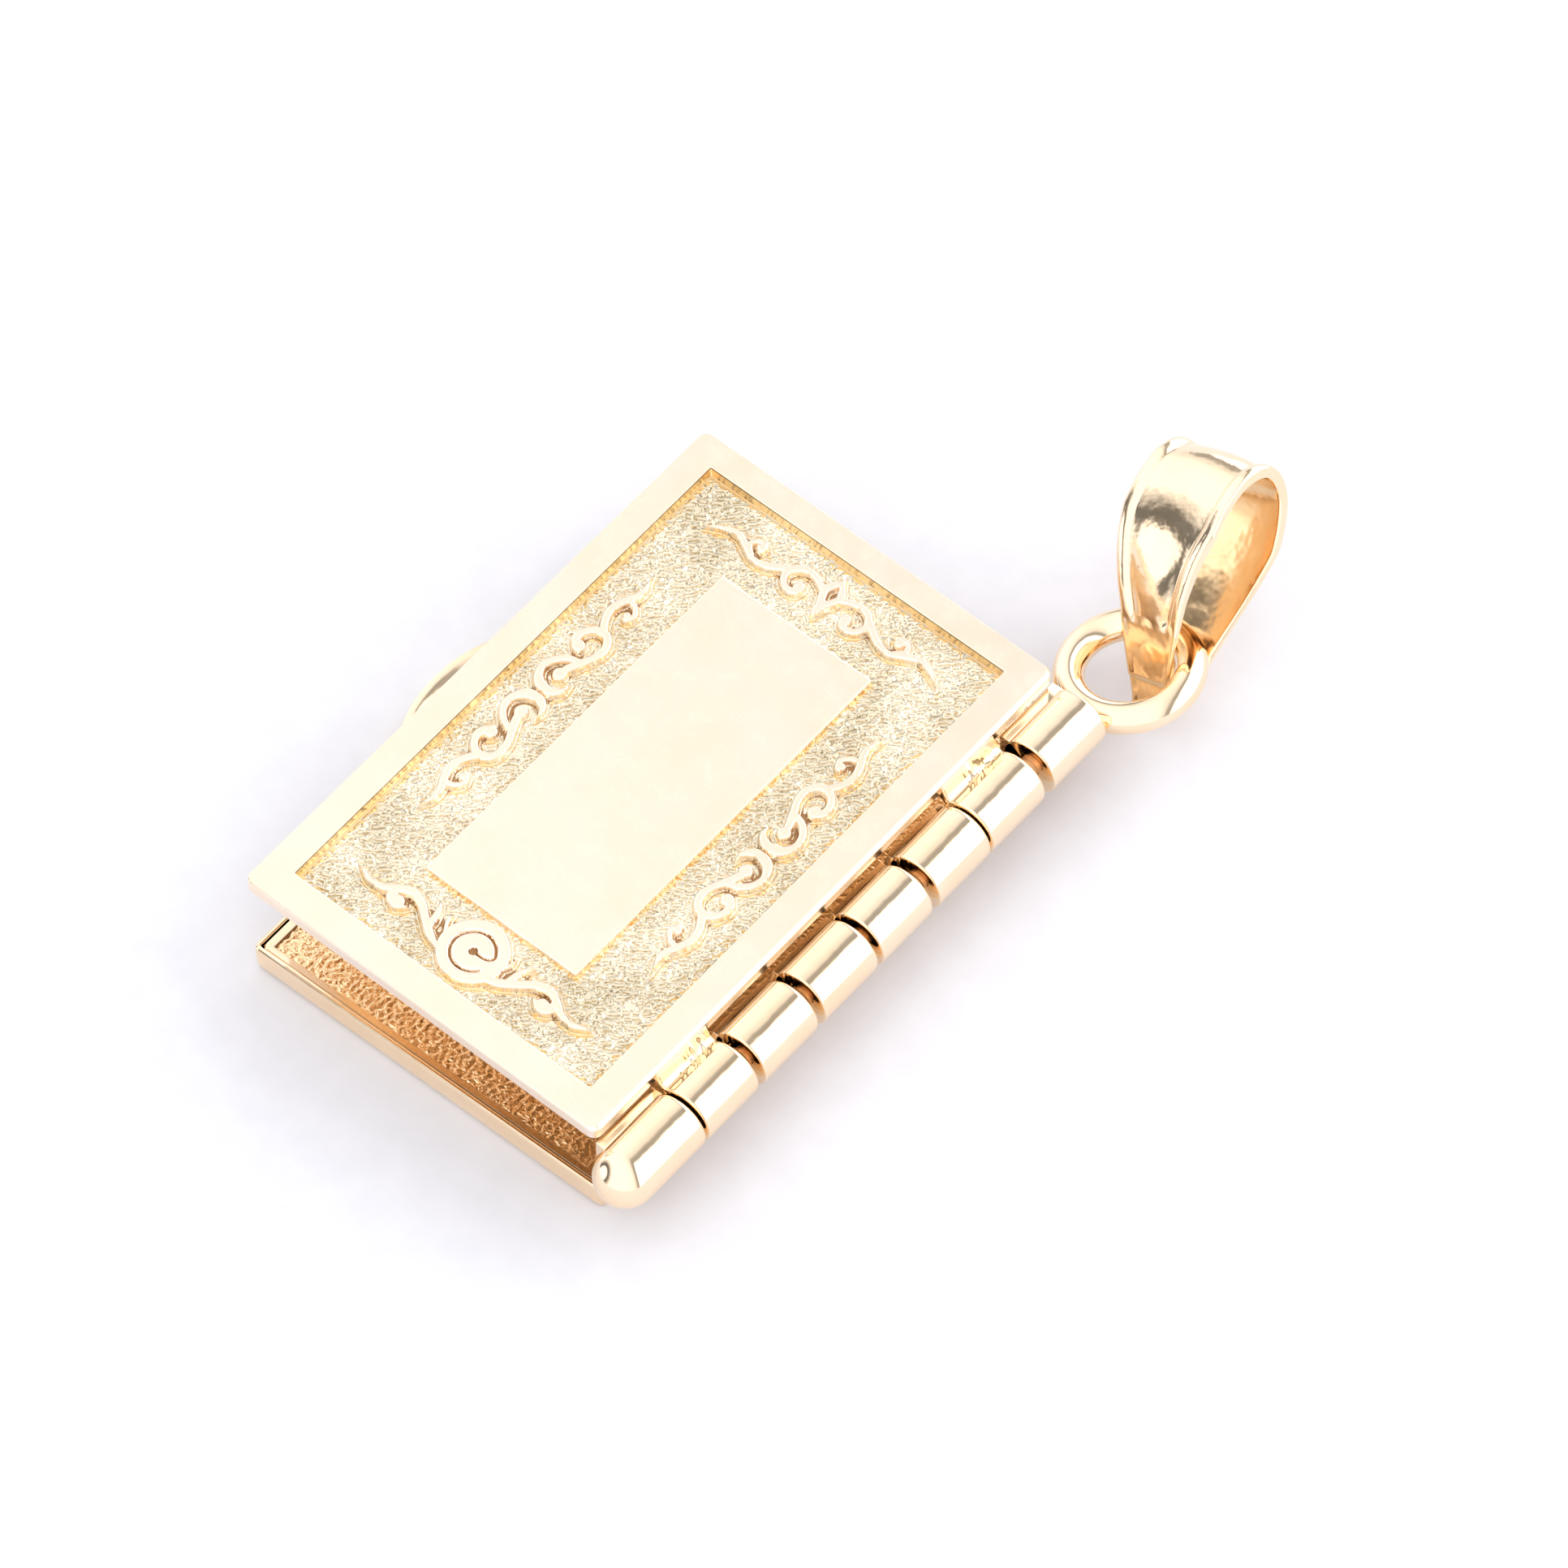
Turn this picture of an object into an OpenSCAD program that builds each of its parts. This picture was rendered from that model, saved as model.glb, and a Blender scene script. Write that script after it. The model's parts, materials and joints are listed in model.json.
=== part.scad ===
// A small gold charm in the form of a closed book, shown lying on its back cover.
// X runs from the fore edge to the spine, Y from tail to head and Z up from the table.
// The origin is on the table, below the middle of the front cover's width and half-way along
// the back cover. All lengths are millimetres.

/* [Book] */
// Width of the front cover from fore edge to spine
cover_w = 13.0; // [10:0.1:20]
// Height of the front cover from tail to head
cover_h = 20.2; // [15:0.1:30]
// Thickness of the closed book, covers parallel
book_t = 3.7; // [3:0.1:6]
// Angle by which the front cover stands open at rest
rest_angle = 2.0; // [0:0.5:10]

/* [Front cover] */
// Thickness of the front plate
plate_t = 0.48; // [0.4:0.02:0.8]
// Width of the flat frame round the front
frame_w = 1.0; // [0.6:0.05:1.5]
// Depth of the sunk field inside the frame
field_d = 0.22; // [0.1:0.01:0.3]
// Slope of the walls of the field, seen from above
field_slope = 0.1; // [0.02:0.01:0.2]
// Width of the raised centre panel
panel_w = 5.6; // [3:0.1:8]
// Height of the raised centre panel
panel_h = 13.0; // [8:0.1:15]
// Shift of the front cover towards the tail by the play of its hinge
cover_shift = 0.15; // [0:0.01:0.2]
// Distance by which the front plate stands past its frame towards the spine
spine_out = 0.1; // [0:0.01:0.15]
// Radius of the front cover's corners and of the back cover's lower edges
corner_r = 0.3; // [0.1:0.05:0.6]

/* [Back cover] */
// Height of the back cover's rim above the table
tray_h = 1.0; // [0.6:0.05:1.5]
// Thickness of the back cover's floor
floor_t = 0.35; // [0.3:0.01:0.5]
// Thickness of the rim
rim_t = 0.17; // [0.15:0.01:0.3]
// Distance by which the thumb lip stands out from the fore edge
lip_out = 2.15; // [1:0.05:3]
// Length of the thumb lip along the fore edge
lip_len = 8.0; // [5:0.1:12]
// Depth of the sunk top of the thumb lip
lip_sink = 0.15; // [0.05:0.01:0.3]

/* [Pages] */
// Thickness of each of the two leaves
leaf_t = 0.27; // [0.2:0.01:0.35]
// Width of the raised border of each leaf
leaf_border = 0.25; // [0.15:0.05:1]
// Gap between the leaves and the rim at tail and head
leaf_gap = 0.06; // [0.05:0.01:0.4]
// Depth of the sunk middle of each leaf
leaf_sink = 0.1; // [0.02:0.01:0.12]

/* [Hinge] */
// Radius of the barrel
barrel_r = 0.95; // [0.7:0.01:1.2]
// Radius of the hinge pin
pin_r = 0.33; // [0.25:0.01:0.4]
// Radial play of the knuckles that turn on the pin
pin_play = 0.03; // [0.01:0.01:0.1]

/* [Ring and bail] */
// Radius of the ring's wire
wire_r = 0.48; // [0.4:0.01:0.7]
// Radius of the ring to the centre of its wire
ring_r = 1.79; // [1.2:0.01:2.5]
// Tilt of the ring, its outer side raised
ring_tilt = 9; // [0:1:30]
// Width of the bail at its broad end
bail_w = 3.6; // [2.5:0.1:5]
// Width of the bail at its narrow end
bail_tip_w = 1.35; // [1:0.05:2]
// Height of the ridges along the bail's rims
ridge_h = 0.06; // [0.02:0.01:0.1]
// Width of the ridges along the bail's rims
ridge_w = 0.5; // [0.3:0.05:0.8]

/* [Hidden] */
gold = [0.93, 0.76, 0.45];
pale = [0.95, 0.82, 0.58];
warm = [0.88, 0.66, 0.36];
over = 1;
$fn = 48;

// Outline of the back cover, the line of the hinge and the places of the leaves
tray_x0 = -6.3;
tray_x1 = 6.8;
tray_y = 10.38;
axis_x = 7.64;
axis_z = book_t - 1.2;
leaf_x0 = tray_x0 + rim_t + 0.12;
leaf_x1 = 6.42;
leaf_y = tray_y - rim_t - leaf_gap;
leaf_z = [0.7, 0.39];
riser_x = 6.22;

// Middles and widths of the gaps between the eight knuckles, from head to tail
head_end = 9.97;
dome_y = -10.18;
gap_y = [7.39, 4.80, 2.32, -0.145, -2.735, -5.345, -7.71];
gap_w = [0.36, 0.07, 0.28, 0.18, 0.26, 0.24, 0.09];
function top_y(k) = k == 0 ? head_end : gap_y[k - 1] - gap_w[k - 1] / 2;
function low_y(k) = k == 7 ? dome_y : gap_y[k] + gap_w[k] / 2;

// Ring soldered to the head end of the barrel
ring_c = [7.6, 12.2, 2.13];

// Bail: the middle of its narrow end and the turn of its frame, whose X runs along the loop
// from the narrow to the broad end, Y through the loop and Z across the strip
bail_c = [8.296, 12.364, 1.1];
bail_turn = [-118.35, -35.69, 107.63];
loop_outer = [[-0.42, -0.02], [-0.02, -0.27], [0.55, -0.53], [1.3, -0.87], [2.2, -1.25],
    [3.1, -1.61], [4.1, -1.83], [5.1, -1.8], [6.1, -1.56], [6.95, -1.1], [7.44, -0.42],
    [7.4, 0.3], [6.9, 0.92], [6.05, 1.28], [5.0, 1.38], [3.9, 1.29], [2.9, 1.12],
    [2.0, 0.98], [1.1, 0.83], [0.3, 0.6], [-0.27, 0.3]];
loop_inner = [[0.05, 0.04], [0.7, -0.38], [1.4, -0.7], [2.2, -1.02], [3.1, -1.35],
    [4.1, -1.52], [5.1, -1.48], [6.0, -1.24], [6.66, -0.86], [7.06, -0.3], [7.0, 0.2],
    [6.6, 0.66], [5.9, 0.94], [5.0, 1.06], [3.9, 1.01], [2.9, 0.88], [2.0, 0.74],
    [1.1, 0.6], [0.4, 0.4]];

// Strokes of the scrolls as x, y and width, in the frame of the front cover.
// Each table holds one half of an ornament and the other half is its mirror image.
scroll_head = [
    [[0.82, 7.68, 0.30], [0.88, 7.46, 0.34], [1.12, 7.37, 0.30], [1.38, 7.53, 0.30],
     [1.48, 7.84, 0.32], [1.30, 8.14, 0.34], [0.96, 8.25, 0.30], [0.60, 8.17, 0.30],
     [0.28, 8.00, 0.26]],
    [[1.34, 8.08, 0.30], [1.70, 7.84, 0.34], [2.10, 7.60, 0.32], [2.55, 7.53, 0.28],
     [2.95, 7.74, 0.32], [3.40, 7.93, 0.30], [3.80, 7.84, 0.24], [4.15, 7.66, 0.16],
     [4.38, 7.46, 0.06]],
    [[2.66, 7.64, 0.22], [2.90, 7.84, 0.28], [2.84, 8.08, 0.26], [2.56, 8.16, 0.22],
     [2.28, 8.02, 0.08]]];
scroll_tail = [
    [[0.80, -8.30, 0.20], [1.30, -8.06, 0.36], [1.70, -7.78, 0.36], [2.12, -7.46, 0.36],
     [2.56, -7.34, 0.36], [2.98, -7.52, 0.34], [3.36, -7.76, 0.30], [3.76, -7.80, 0.26],
     [4.10, -7.68, 0.18], [4.34, -7.58, 0.06]],
    [[2.94, -7.56, 0.30], [2.96, -7.84, 0.34], [2.72, -7.98, 0.32], [2.44, -7.88, 0.20],
     [2.28, -7.76, 0.06]],
    [[1.46, -7.90, 0.30], [1.52, -7.55, 0.30], [1.62, -7.22, 0.22], [1.80, -7.00, 0.06]],
    [[0.98, -7.75, 0.20], [1.16, -7.42, 0.20], [1.16, -7.10, 0.06]]];
scroll_side = [
    [[3.74, 0.80, 0.08], [3.76, 0.44, 0.26], [4.06, 0.20, 0.40], [4.50, 0.28, 0.42],
     [4.74, 0.66, 0.32], [4.68, 1.06, 0.32], [4.42, 1.36, 0.32], [4.10, 1.50, 0.28]],
    [[4.20, 0.82, 0.28], [4.14, 1.12, 0.34], [3.98, 1.50, 0.34], [3.80, 1.90, 0.32],
     [3.76, 2.34, 0.34], [4.00, 2.68, 0.36], [4.38, 2.66, 0.34], [4.62, 2.36, 0.32],
     [4.62, 2.00, 0.34], [4.42, 1.88, 0.26]],
    [[4.16, 2.72, 0.34], [4.42, 3.12, 0.34], [4.52, 3.55, 0.34], [4.40, 3.96, 0.34],
     [4.24, 4.30, 0.32], [4.20, 4.65, 0.24], [4.30, 4.96, 0.14], [4.36, 5.22, 0.05]],
    [[4.34, 4.04, 0.26], [4.06, 3.98, 0.26], [3.86, 3.74, 0.26], [3.94, 3.48, 0.24],
     [4.08, 3.44, 0.14]]];
// Round ends of the curls as x, y and radius
ends_head = [[0.88, 7.62, 0.22], [2.58, 7.99, 0.19]];
ends_tail = [[2.70, -7.86, 0.28]];
ends_side = [[4.20, 0.84, 0.25], [4.42, 1.92, 0.25], [4.02, 3.60, 0.16]];
fleur = [[0, 8.82], [0.14, 8.58], [0.36, 8.34], [0.46, 8.12], [0.38, 7.86], [0.22, 7.56],
    [0.12, 7.2], [0, 7.0], [-0.12, 7.2], [-0.22, 7.56], [-0.38, 7.86], [-0.46, 8.12],
    [-0.36, 8.34], [-0.14, 8.58]];
medal_c = [0.05, -7.74];
medal_r = 1.12;
volute_r = 0.66;
groove_w = 0.09;

// Smooth curve through points that may carry a width as their third number
function spline(p, a, b, c, d, t) =
    let (t2 = t * t, t3 = t2 * t)
    0.5 * ((2 * b) + (c - a) * t + (2 * a - 5 * b + 4 * c - d) * t2 + (3 * b - a - 3 * c + d) * t3);
function clampi(i, n) = i < 0 ? 0 : i > n - 1 ? n - 1 : i;
function smooth_open(p, m) =
    let (n = len(p))
    [for (i = [0 : n - 2], j = [0 : m - 1])
        spline(0, p[clampi(i - 1, n)], p[i], p[i + 1], p[clampi(i + 2, n)], j / m),
     p[n - 1]];
function smooth_loop(p, m) =
    let (n = len(p))
    [for (i = [0 : n - 1], j = [0 : m - 1])
        spline(0, p[(i + n - 1) % n], p[i], p[(i + 1) % n], p[(i + 2) % n], j / m)];

// Direction along a list of points and its left-hand normal
function unit(v) = v / norm(v);
function normal(a, b) = let (d = unit([b[0] - a[0], b[1] - a[1]])) [-d[1], d[0]];
function side_of(q, i, s) =
    let (n = len(q), m = normal(q[clampi(i - 1, n)], q[clampi(i + 1, n)]))
    [q[i][0] + s * m[0] * q[i][2] / 2, q[i][1] + s * m[1] * q[i][2] / 2];

// Outline of a stroke with a round start, and a loop moved inwards by d
function round_start(q) =
    let (m = normal(q[0], q[1]), r = q[0][2] / 2)
    [for (a = [-60 : 30 : 60]) [q[0][0] + r * (m[0] * sin(a) - m[1] * cos(a)),
                                q[0][1] + r * (m[0] * cos(a) + m[1] * sin(a))]];
function stroke_outline(p) =
    let (q = smooth_open(p, 3), n = len(q))
    concat([for (i = [n - 1 : -1 : 0]) side_of(q, i, -1)],
        [for (v = round_start(q)) v],
        [for (i = [0 : n - 1]) side_of(q, i, 1)]);
function inset(q, d) =
    let (n = len(q))
    [for (i = [0 : n - 1]) let (m = normal(q[(i + n - 1) % n], q[(i + 1) % n]))
        [q[i][0] + m[0] * d, q[i][1] + m[1] * d]];

// Prism whose walls slope inwards by s from its top to its bottom
module sunk_block(x0, x1, y0, y1, z0, z1, s) {
    intersection() {
        translate([0, y1, 0]) rotate([90, 0, 0]) linear_extrude(y1 - y0)
            polygon([[x0 + s, z0], [x1 - s, z0], [x1, z1], [x0, z1]]);
        translate([x0, 0, 0]) rotate([90, 0, 90]) linear_extrude(x1 - x0)
            polygon([[y0 + s, z0], [y1 - s, z0], [y1, z1], [y0, z1]]);
    }
}

// Flat plate with round upright corners
module round_plate(x0, x1, y0, y1, z0, z1, r) {
    translate([0, 0, z0]) linear_extrude(z1 - z0) {
        translate([x0 + r, y0]) square([x1 - x0 - 2 * r, y1 - y0]);
        translate([x0, y0 + r]) square([x1 - x0, y1 - y0 - 2 * r]);
        for (x = [x0 + r, x1 - r], y = [y0 + r, y1 - r]) translate([x, y]) circle(r, $fn = 32);
    }
}

// Cylinder along Y on the line of the hinge, from the lower to the upper place
module along_axis(y0, y1, r) {
    translate([axis_x, y1, axis_z]) rotate([90, 0, 0]) cylinder(h = y1 - y0, r = r);
}

// One knuckle with its bore
module knuckle(k) {
    difference() {
        along_axis(low_y(k), top_y(k), barrel_r);
        along_axis(low_y(k) - over, top_y(k) + over, pin_r + pin_play);
    }
}

// Strokes and round ends of one ornament, drawn up from the floor of the field
module strokes(list, ends) {
    for (p = list) linear_extrude(field_d + 0.05) polygon(stroke_outline(p));
    for (e = ends) translate([e[0], e[1], 0]) cylinder(h = field_d + 0.05, r = e[2], $fn = 24);
}

// Fleur with a lozenge cut out of its middle
module centre_fleur() {
    difference() {
        linear_extrude(field_d + 0.05) polygon(fleur);
        translate([0.02, 8.06, 0.05]) linear_extrude(over)
            polygon([[0, 0.24], [0.1, 0], [0, -0.24], [-0.1, 0]]);
    }
}

// Round medallion with a spiral groove that ends in a dot
module medallion() {
    turn = [for (a = [18 : 18 : 338]) [volute_r * cos(a), volute_r * sin(a), groove_w]];
    path = concat([[0, 0, groove_w], [0.3, 0, groove_w], [0.5, 0.04, groove_w]], turn);
    translate([medal_c[0], medal_c[1], 0]) difference() {
        cylinder(h = field_d + 0.05, r = medal_r);
        translate([0, 0, 0.05]) linear_extrude(over) polygon(stroke_outline(path));
        translate([0, 0, 0.05]) cylinder(h = over, r = 0.16, $fn = 24);
    }
}

// All scrolls of the front cover, their tops level with the frame
module ornament() {
    translate([0, 0, book_t - field_d - 0.05]) {
        for (m = [0, 1]) mirror([m, 0, 0]) {
            strokes(scroll_head, ends_head);
            strokes(scroll_tail, ends_tail);
            translate([0, 0.1, 0]) for (n = [0, 1]) mirror([0, n, 0])
                strokes(scroll_side, ends_side);
        }
        centre_fleur();
        medallion();
    }
}

// Front plate with its sunk field, centre panel, scrolls and two knuckles, whose flanges
// fall from the edge of the plate to the barrel
module front_cover() {
    x = cover_w / 2;
    y = cover_h / 2;
    z0 = book_t - plate_t;
    color(gold)
    translate([axis_x, 0, axis_z]) rotate([0, rest_angle, 0]) translate([-axis_x, 0, -axis_z]) {
        translate([0, -cover_shift, 0]) {
            difference() {
                round_plate(-x, x + spine_out, -y, y, z0, book_t, corner_r);
                sunk_block(frame_w - x, x - frame_w, frame_w - y + 0.07, y - frame_w + 0.07,
                    book_t - field_d, book_t + 0.001, field_slope);
            }
            intersection() {
                translate([-x, 0, 0]) rotate([90, 0, 90]) linear_extrude(cover_w)
                    polygon([[-panel_h / 2, z0 + 0.1], [panel_h / 2, z0 + 0.1],
                        [panel_h / 2 - 0.03, book_t], [-panel_h / 2 + 0.03, book_t]]);
                translate([0, y, 0]) rotate([90, 0, 0]) linear_extrude(cover_h)
                    polygon([[-panel_w / 2, z0 + 0.1], [panel_w / 2, z0 + 0.1],
                        [panel_w / 2 - 0.03, book_t], [-panel_w / 2 + 0.03, book_t]]);
            }
            ornament();
        }
        for (k = [1, 6]) difference() {
            union() {
                along_axis(low_y(k), top_y(k), barrel_r);
                translate([0, top_y(k), 0]) rotate([90, 0, 0]) linear_extrude(top_y(k) - low_y(k))
                    polygon([[x - 0.2, z0], [axis_x - 0.8, axis_z + 0.3],
                        [axis_x - 0.5, axis_z + 0.5], [axis_x - 0.7, axis_z + 0.62],
                        [x + spine_out - 0.02, book_t - 0.08], [x - 0.2, book_t - 0.08]]);
            }
            along_axis(low_y(k) - over, top_y(k) + over, pin_r + pin_play);
        }
    }
}

// Outer block of the back cover with its lower edges rounded
module tray_block() {
    r = corner_r;
    lower = [for (a = [0 : 15 : 90]) [r * (1 - cos(a)), r * (1 - sin(a))]];
    x0 = tray_x0;
    x1 = tray_x1;
    intersection() {
        round_plate(x0, x1, -tray_y, tray_y, 0, tray_h, 0.25);
        translate([0, tray_y, 0]) rotate([90, 0, 0]) linear_extrude(2 * tray_y)
            polygon(concat([for (v = lower) [x0 + v[0], v[1]]],
                [[x1, 0], [x1, tray_h], [x0, tray_h]]));
        translate([x0, 0, 0]) rotate([90, 0, 90]) linear_extrude(x1 - x0)
            polygon(concat([for (v = lower) [-tray_y + v[0], v[1]]],
                [for (i = [len(lower) - 1 : -1 : 0]) [tray_y - lower[i][0], lower[i][1]]],
                [[tray_y, tray_h], [-tray_y, tray_h]]));
    }
}

// Crescent at the fore edge for the thumb, with a sunk top
module thumb_lip() {
    half = lip_len / 2;
    big_r = (half * half + lip_out * lip_out) / (2 * lip_out);
    cx = tray_x0 - lip_out + big_r;
    difference() {
        translate([cx, 0, 0.12]) cylinder(h = tray_h - 0.12, r = big_r, $fn = 120);
        translate([cx, 0, tray_h - lip_sink]) cylinder(h = over, r = big_r - 0.3, $fn = 120);
        translate([tray_x0 + 0.1, -big_r - over, -over])
            cube([3 * big_r, 2 * big_r + 2 * over, tray_h + 2 * over]);
    }
    difference() {
        translate([cx, 0, 0]) cylinder(h = tray_h, r1 = big_r - 0.12, r2 = big_r - 0.12, $fn = 120);
        translate([cx, 0, tray_h - lip_sink]) cylinder(h = over, r = big_r - 0.3, $fn = 120);
        translate([tray_x0 + 0.1, -big_r - over, -over])
            cube([3 * big_r, 2 * big_r + 2 * over, tray_h + 2 * over]);
    }
}

// Back cover: shallow tray, thumb lip, the two end knuckles on risers that fill the space
// beside the barrel, and the soldered ring
module back_cover() {
    color(warm) {
        difference() {
            union() {
                tray_block();
                for (k = [0, 7]) translate([0, top_y(k), 0]) rotate([90, 0, 0])
                    linear_extrude(top_y(k) - low_y(k))
                    polygon([[tray_x1 - 0.25, 0.4], [tray_x1, 0.4], [tray_x1, axis_z - 1.1],
                        [axis_x - 0.3, axis_z - 0.9], [axis_x - 0.3, axis_z + 0.3],
                        [axis_x - 0.7, axis_z + 0.6], [tray_x1 - 0.25, axis_z + 0.57]]);
                along_axis(low_y(0), top_y(0), barrel_r);
                along_axis(low_y(7), top_y(7), barrel_r);
                translate([axis_x, dome_y, axis_z]) rotate([90, 0, 0]) rotate_extrude()
                    intersection() {
                        circle(barrel_r);
                        square(barrel_r + over);
                    }
            }
            round_plate(tray_x0 + rim_t, tray_x1 - 0.25, rim_t - tray_y, tray_y - rim_t,
                floor_t, axis_z + 2, 0.15);
            along_axis(dome_y, head_end - 0.5, pin_r + 0.01);
        }
        thumb_lip();
        translate(ring_c) rotate([0, -ring_tilt, 0])
            rotate_extrude($fn = 72) translate([ring_r, 0]) circle(wire_r, $fn = 32);
    }
}

// One leaf with a raised border, cut back for the knuckles in clear; its own knuckles ks have
// risers with a shoulder that nearly fills the gap between barrel and front plate
module leaf(z, ks, clear) {
    difference() {
        union() {
            round_plate(leaf_x0, leaf_x1, -leaf_y, leaf_y, z, z + leaf_t, 0.15);
            for (k = ks) {
                along_axis(low_y(k), top_y(k), barrel_r);
                translate([0, top_y(k), 0]) rotate([90, 0, 0]) linear_extrude(top_y(k) - low_y(k))
                    polygon([[riser_x, z], [leaf_x1, z], [leaf_x1, 1.15], [axis_x - 0.6, 1.9],
                        [axis_x - 0.6, axis_z + 0.45], [axis_x - 1.0, axis_z + 0.45],
                        [axis_x - 1.04, axis_z + 0.39], [riser_x, 1.5]]);
            }
        }
        sunk_block(leaf_x0 + leaf_border, leaf_x1 - 2 * leaf_border, leaf_border - leaf_y,
            leaf_y - leaf_border, z + leaf_t - leaf_sink, z + leaf_t + 0.001, 0.05);
        for (k = clear) translate([riser_x - 0.08, low_y(k) - 0.1, 0])
            cube([over, top_y(k) - low_y(k) + 0.2, 1.2]);
        for (k = ks) along_axis(low_y(k) - over, top_y(k) + over, pin_r + pin_play);
    }
}

// Upper leaf
module page_1() {
    color(pale) leaf(leaf_z[0], [2, 5], [3, 4]);
}

// Lower leaf
module page_2() {
    color(pale) leaf(leaf_z[1], [3, 4], []);
}

// Pin through all eight knuckles
module hinge_pin() {
    color(warm) along_axis(dome_y + 0.05, head_end - 0.55, pin_r);
}

// Solid across the whole bail with the given outline of its loop
module loop_solid(outline) {
    translate([0, 0, -bail_w]) linear_extrude(2 * bail_w) polygon(outline);
}

// Front outline of the bail, d inside its true edge
module bail_face(d) {
    w = bail_w / 2 - d;
    t = bail_tip_w / 2 - d;
    translate([0, 3, 0]) rotate([90, 0, 0]) linear_extrude(6)
        polygon([[-1, -t], [0, -t], [5.2, -w], [8.5, -w], [8.5, w], [5.2, w], [0, t], [-1, t]]);
}

// Tapered loop that hangs in the ring, with a ridge along both rims
module bail() {
    outer = smooth_loop(loop_outer, 2);
    inner = smooth_loop(loop_inner, 2);
    color(gold) translate(bail_c) rotate(bail_turn) difference() {
        union() {
            intersection() {
                loop_solid(inset(outer, ridge_h));
                bail_face(0);
            }
            difference() {
                intersection() {
                    loop_solid(outer);
                    bail_face(0);
                }
                bail_face(ridge_w);
            }
        }
        loop_solid(inner);
    }
}

front_cover();
back_cover();
page_1();
page_2();
hinge_pin();
bail();
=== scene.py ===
"""A small gold charm in the form of a closed book, lying on its back cover.

X runs from the fore edge to the spine, Y from tail to head along the hinge and Z up.
Shapes are worked out in millimetres and turned into metres when a mesh is made.
"""

import json
import math

import bpy
import numpy as np
from mathutils import Matrix

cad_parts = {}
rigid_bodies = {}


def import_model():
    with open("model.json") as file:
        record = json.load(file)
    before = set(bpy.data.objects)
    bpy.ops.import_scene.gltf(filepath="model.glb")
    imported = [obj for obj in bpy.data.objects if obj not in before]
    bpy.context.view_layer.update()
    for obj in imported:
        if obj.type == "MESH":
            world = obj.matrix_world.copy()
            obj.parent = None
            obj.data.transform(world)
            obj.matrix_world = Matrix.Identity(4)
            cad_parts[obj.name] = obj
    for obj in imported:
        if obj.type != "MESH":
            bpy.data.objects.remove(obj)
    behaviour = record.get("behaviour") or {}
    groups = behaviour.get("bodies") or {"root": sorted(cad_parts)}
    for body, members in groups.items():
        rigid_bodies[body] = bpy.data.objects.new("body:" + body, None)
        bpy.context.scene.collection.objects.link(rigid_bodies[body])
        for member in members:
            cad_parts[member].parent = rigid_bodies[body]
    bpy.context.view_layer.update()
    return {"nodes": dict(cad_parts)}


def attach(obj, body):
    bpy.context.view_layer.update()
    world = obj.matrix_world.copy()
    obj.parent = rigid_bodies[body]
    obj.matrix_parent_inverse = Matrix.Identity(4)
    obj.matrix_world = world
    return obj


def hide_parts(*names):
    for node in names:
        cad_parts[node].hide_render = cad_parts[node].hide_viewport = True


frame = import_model()

MM = 0.001
SEED = 7

# Front cover, closed, and how far it stands open at rest
COVER_W = 13.0
COVER_H = 20.2
BOOK_T = 3.7
REST_ANGLE = math.radians(2.0)
PLATE_T = 0.48
FRAME_W = 1.0
FIELD_D = 0.22
FIELD_SHIFT = 0.07
WALL_RUN = 0.08
PANEL_W = 5.6
PANEL_H = 13.0
COVER_SHIFT = 0.15
SPINE_OUT = 0.1
FRONT_CORNER = 0.3
FIELD_STEP = 0.027
SINK = 0.03

# Relief of the front's field: stipple, calmer near two walls, and edges, grooves and dot
STIPPLE_H, STIPPLE_PITCH, STIPPLE_DRAWN = 0.1, 0.18, 2
CALM_W, CALM_RUN = 0.1, 0.2
BESIDE_W, BESIDE_RUN = 0.03, 0.12
EDGE_RUN = 0.07
GROOVE_D, GROOVE_W = 0.13, 0.04
DOT_R, DOT_RUN = 0.15, 0.06

# Strip of painted shade, warmer ground beside raised edges: its width, how uneven that is, on
# which side it lies, how many cells it can reach, and the band along two walls that counts as
# raised
PAINTED_SHADE_W, PAINTED_SHADE_UNEVEN, PAINTED_SHADE_BLUR = 0.13, 0.04, 2.2
PAINTED_SHADE_WAY = (0.67, -0.74)
PAINTED_SHADE_CELLS = 9
WALL_BAND = 0.04

# Other tones: painted shade darkens the ground where ornament takes up this share of it, and
# the bottom of the spiral line and of its dot, and the satin tops start a little inside their
# edges
CROWD_R, CROWD_SHARE = 0.12, 0.49
LINE_HALF, DOT_EDGE = 0.021, 0.03
TOP_EDGE = 0.02

# Back cover
TRAY_X0, TRAY_X1, TRAY_Y = -6.3, 6.8, 10.38
TRAY_CORNER = 0.25
TRAY_FOOT = 0.3
TRAY_H = 1.0
FLOOR_T = 0.35
RIM_T = 0.17
SPINE_RIM_T = 0.25
LIP_OUT = 2.15
LIP_LEN = 8.0
LIP_SINK = 0.15
LIP_RIM = 0.3
LIP_STIPPLE_H, LIP_STIPPLE_PITCH = 0.045, 0.3

# Leaves
LEAF_FORE = (-6.08, -6.01)
LEAF_X1, LEAF_Y = 6.42, 10.185
LEAF_T = 0.27
LEAF_Z = (0.70, 0.39)
LEAF_BORDER = 0.25
LEAF_STEP = (0.053, 0.075)
LEAF_SINK = 0.1
LEAF_EASE = 0.03
LEAF_EDGE = 0.06
LEAF_CALM_W, LEAF_CALM_RUN = 0.2, 0.5
LEAF_CORNER = 0.15
LEAF_STIPPLE_H, LEAF_STIPPLE_PITCH = 0.035, 0.2
NOTCH_PLAY, NOTCH_PAST = 0.1, 0.08
RISER_X = 6.22

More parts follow.
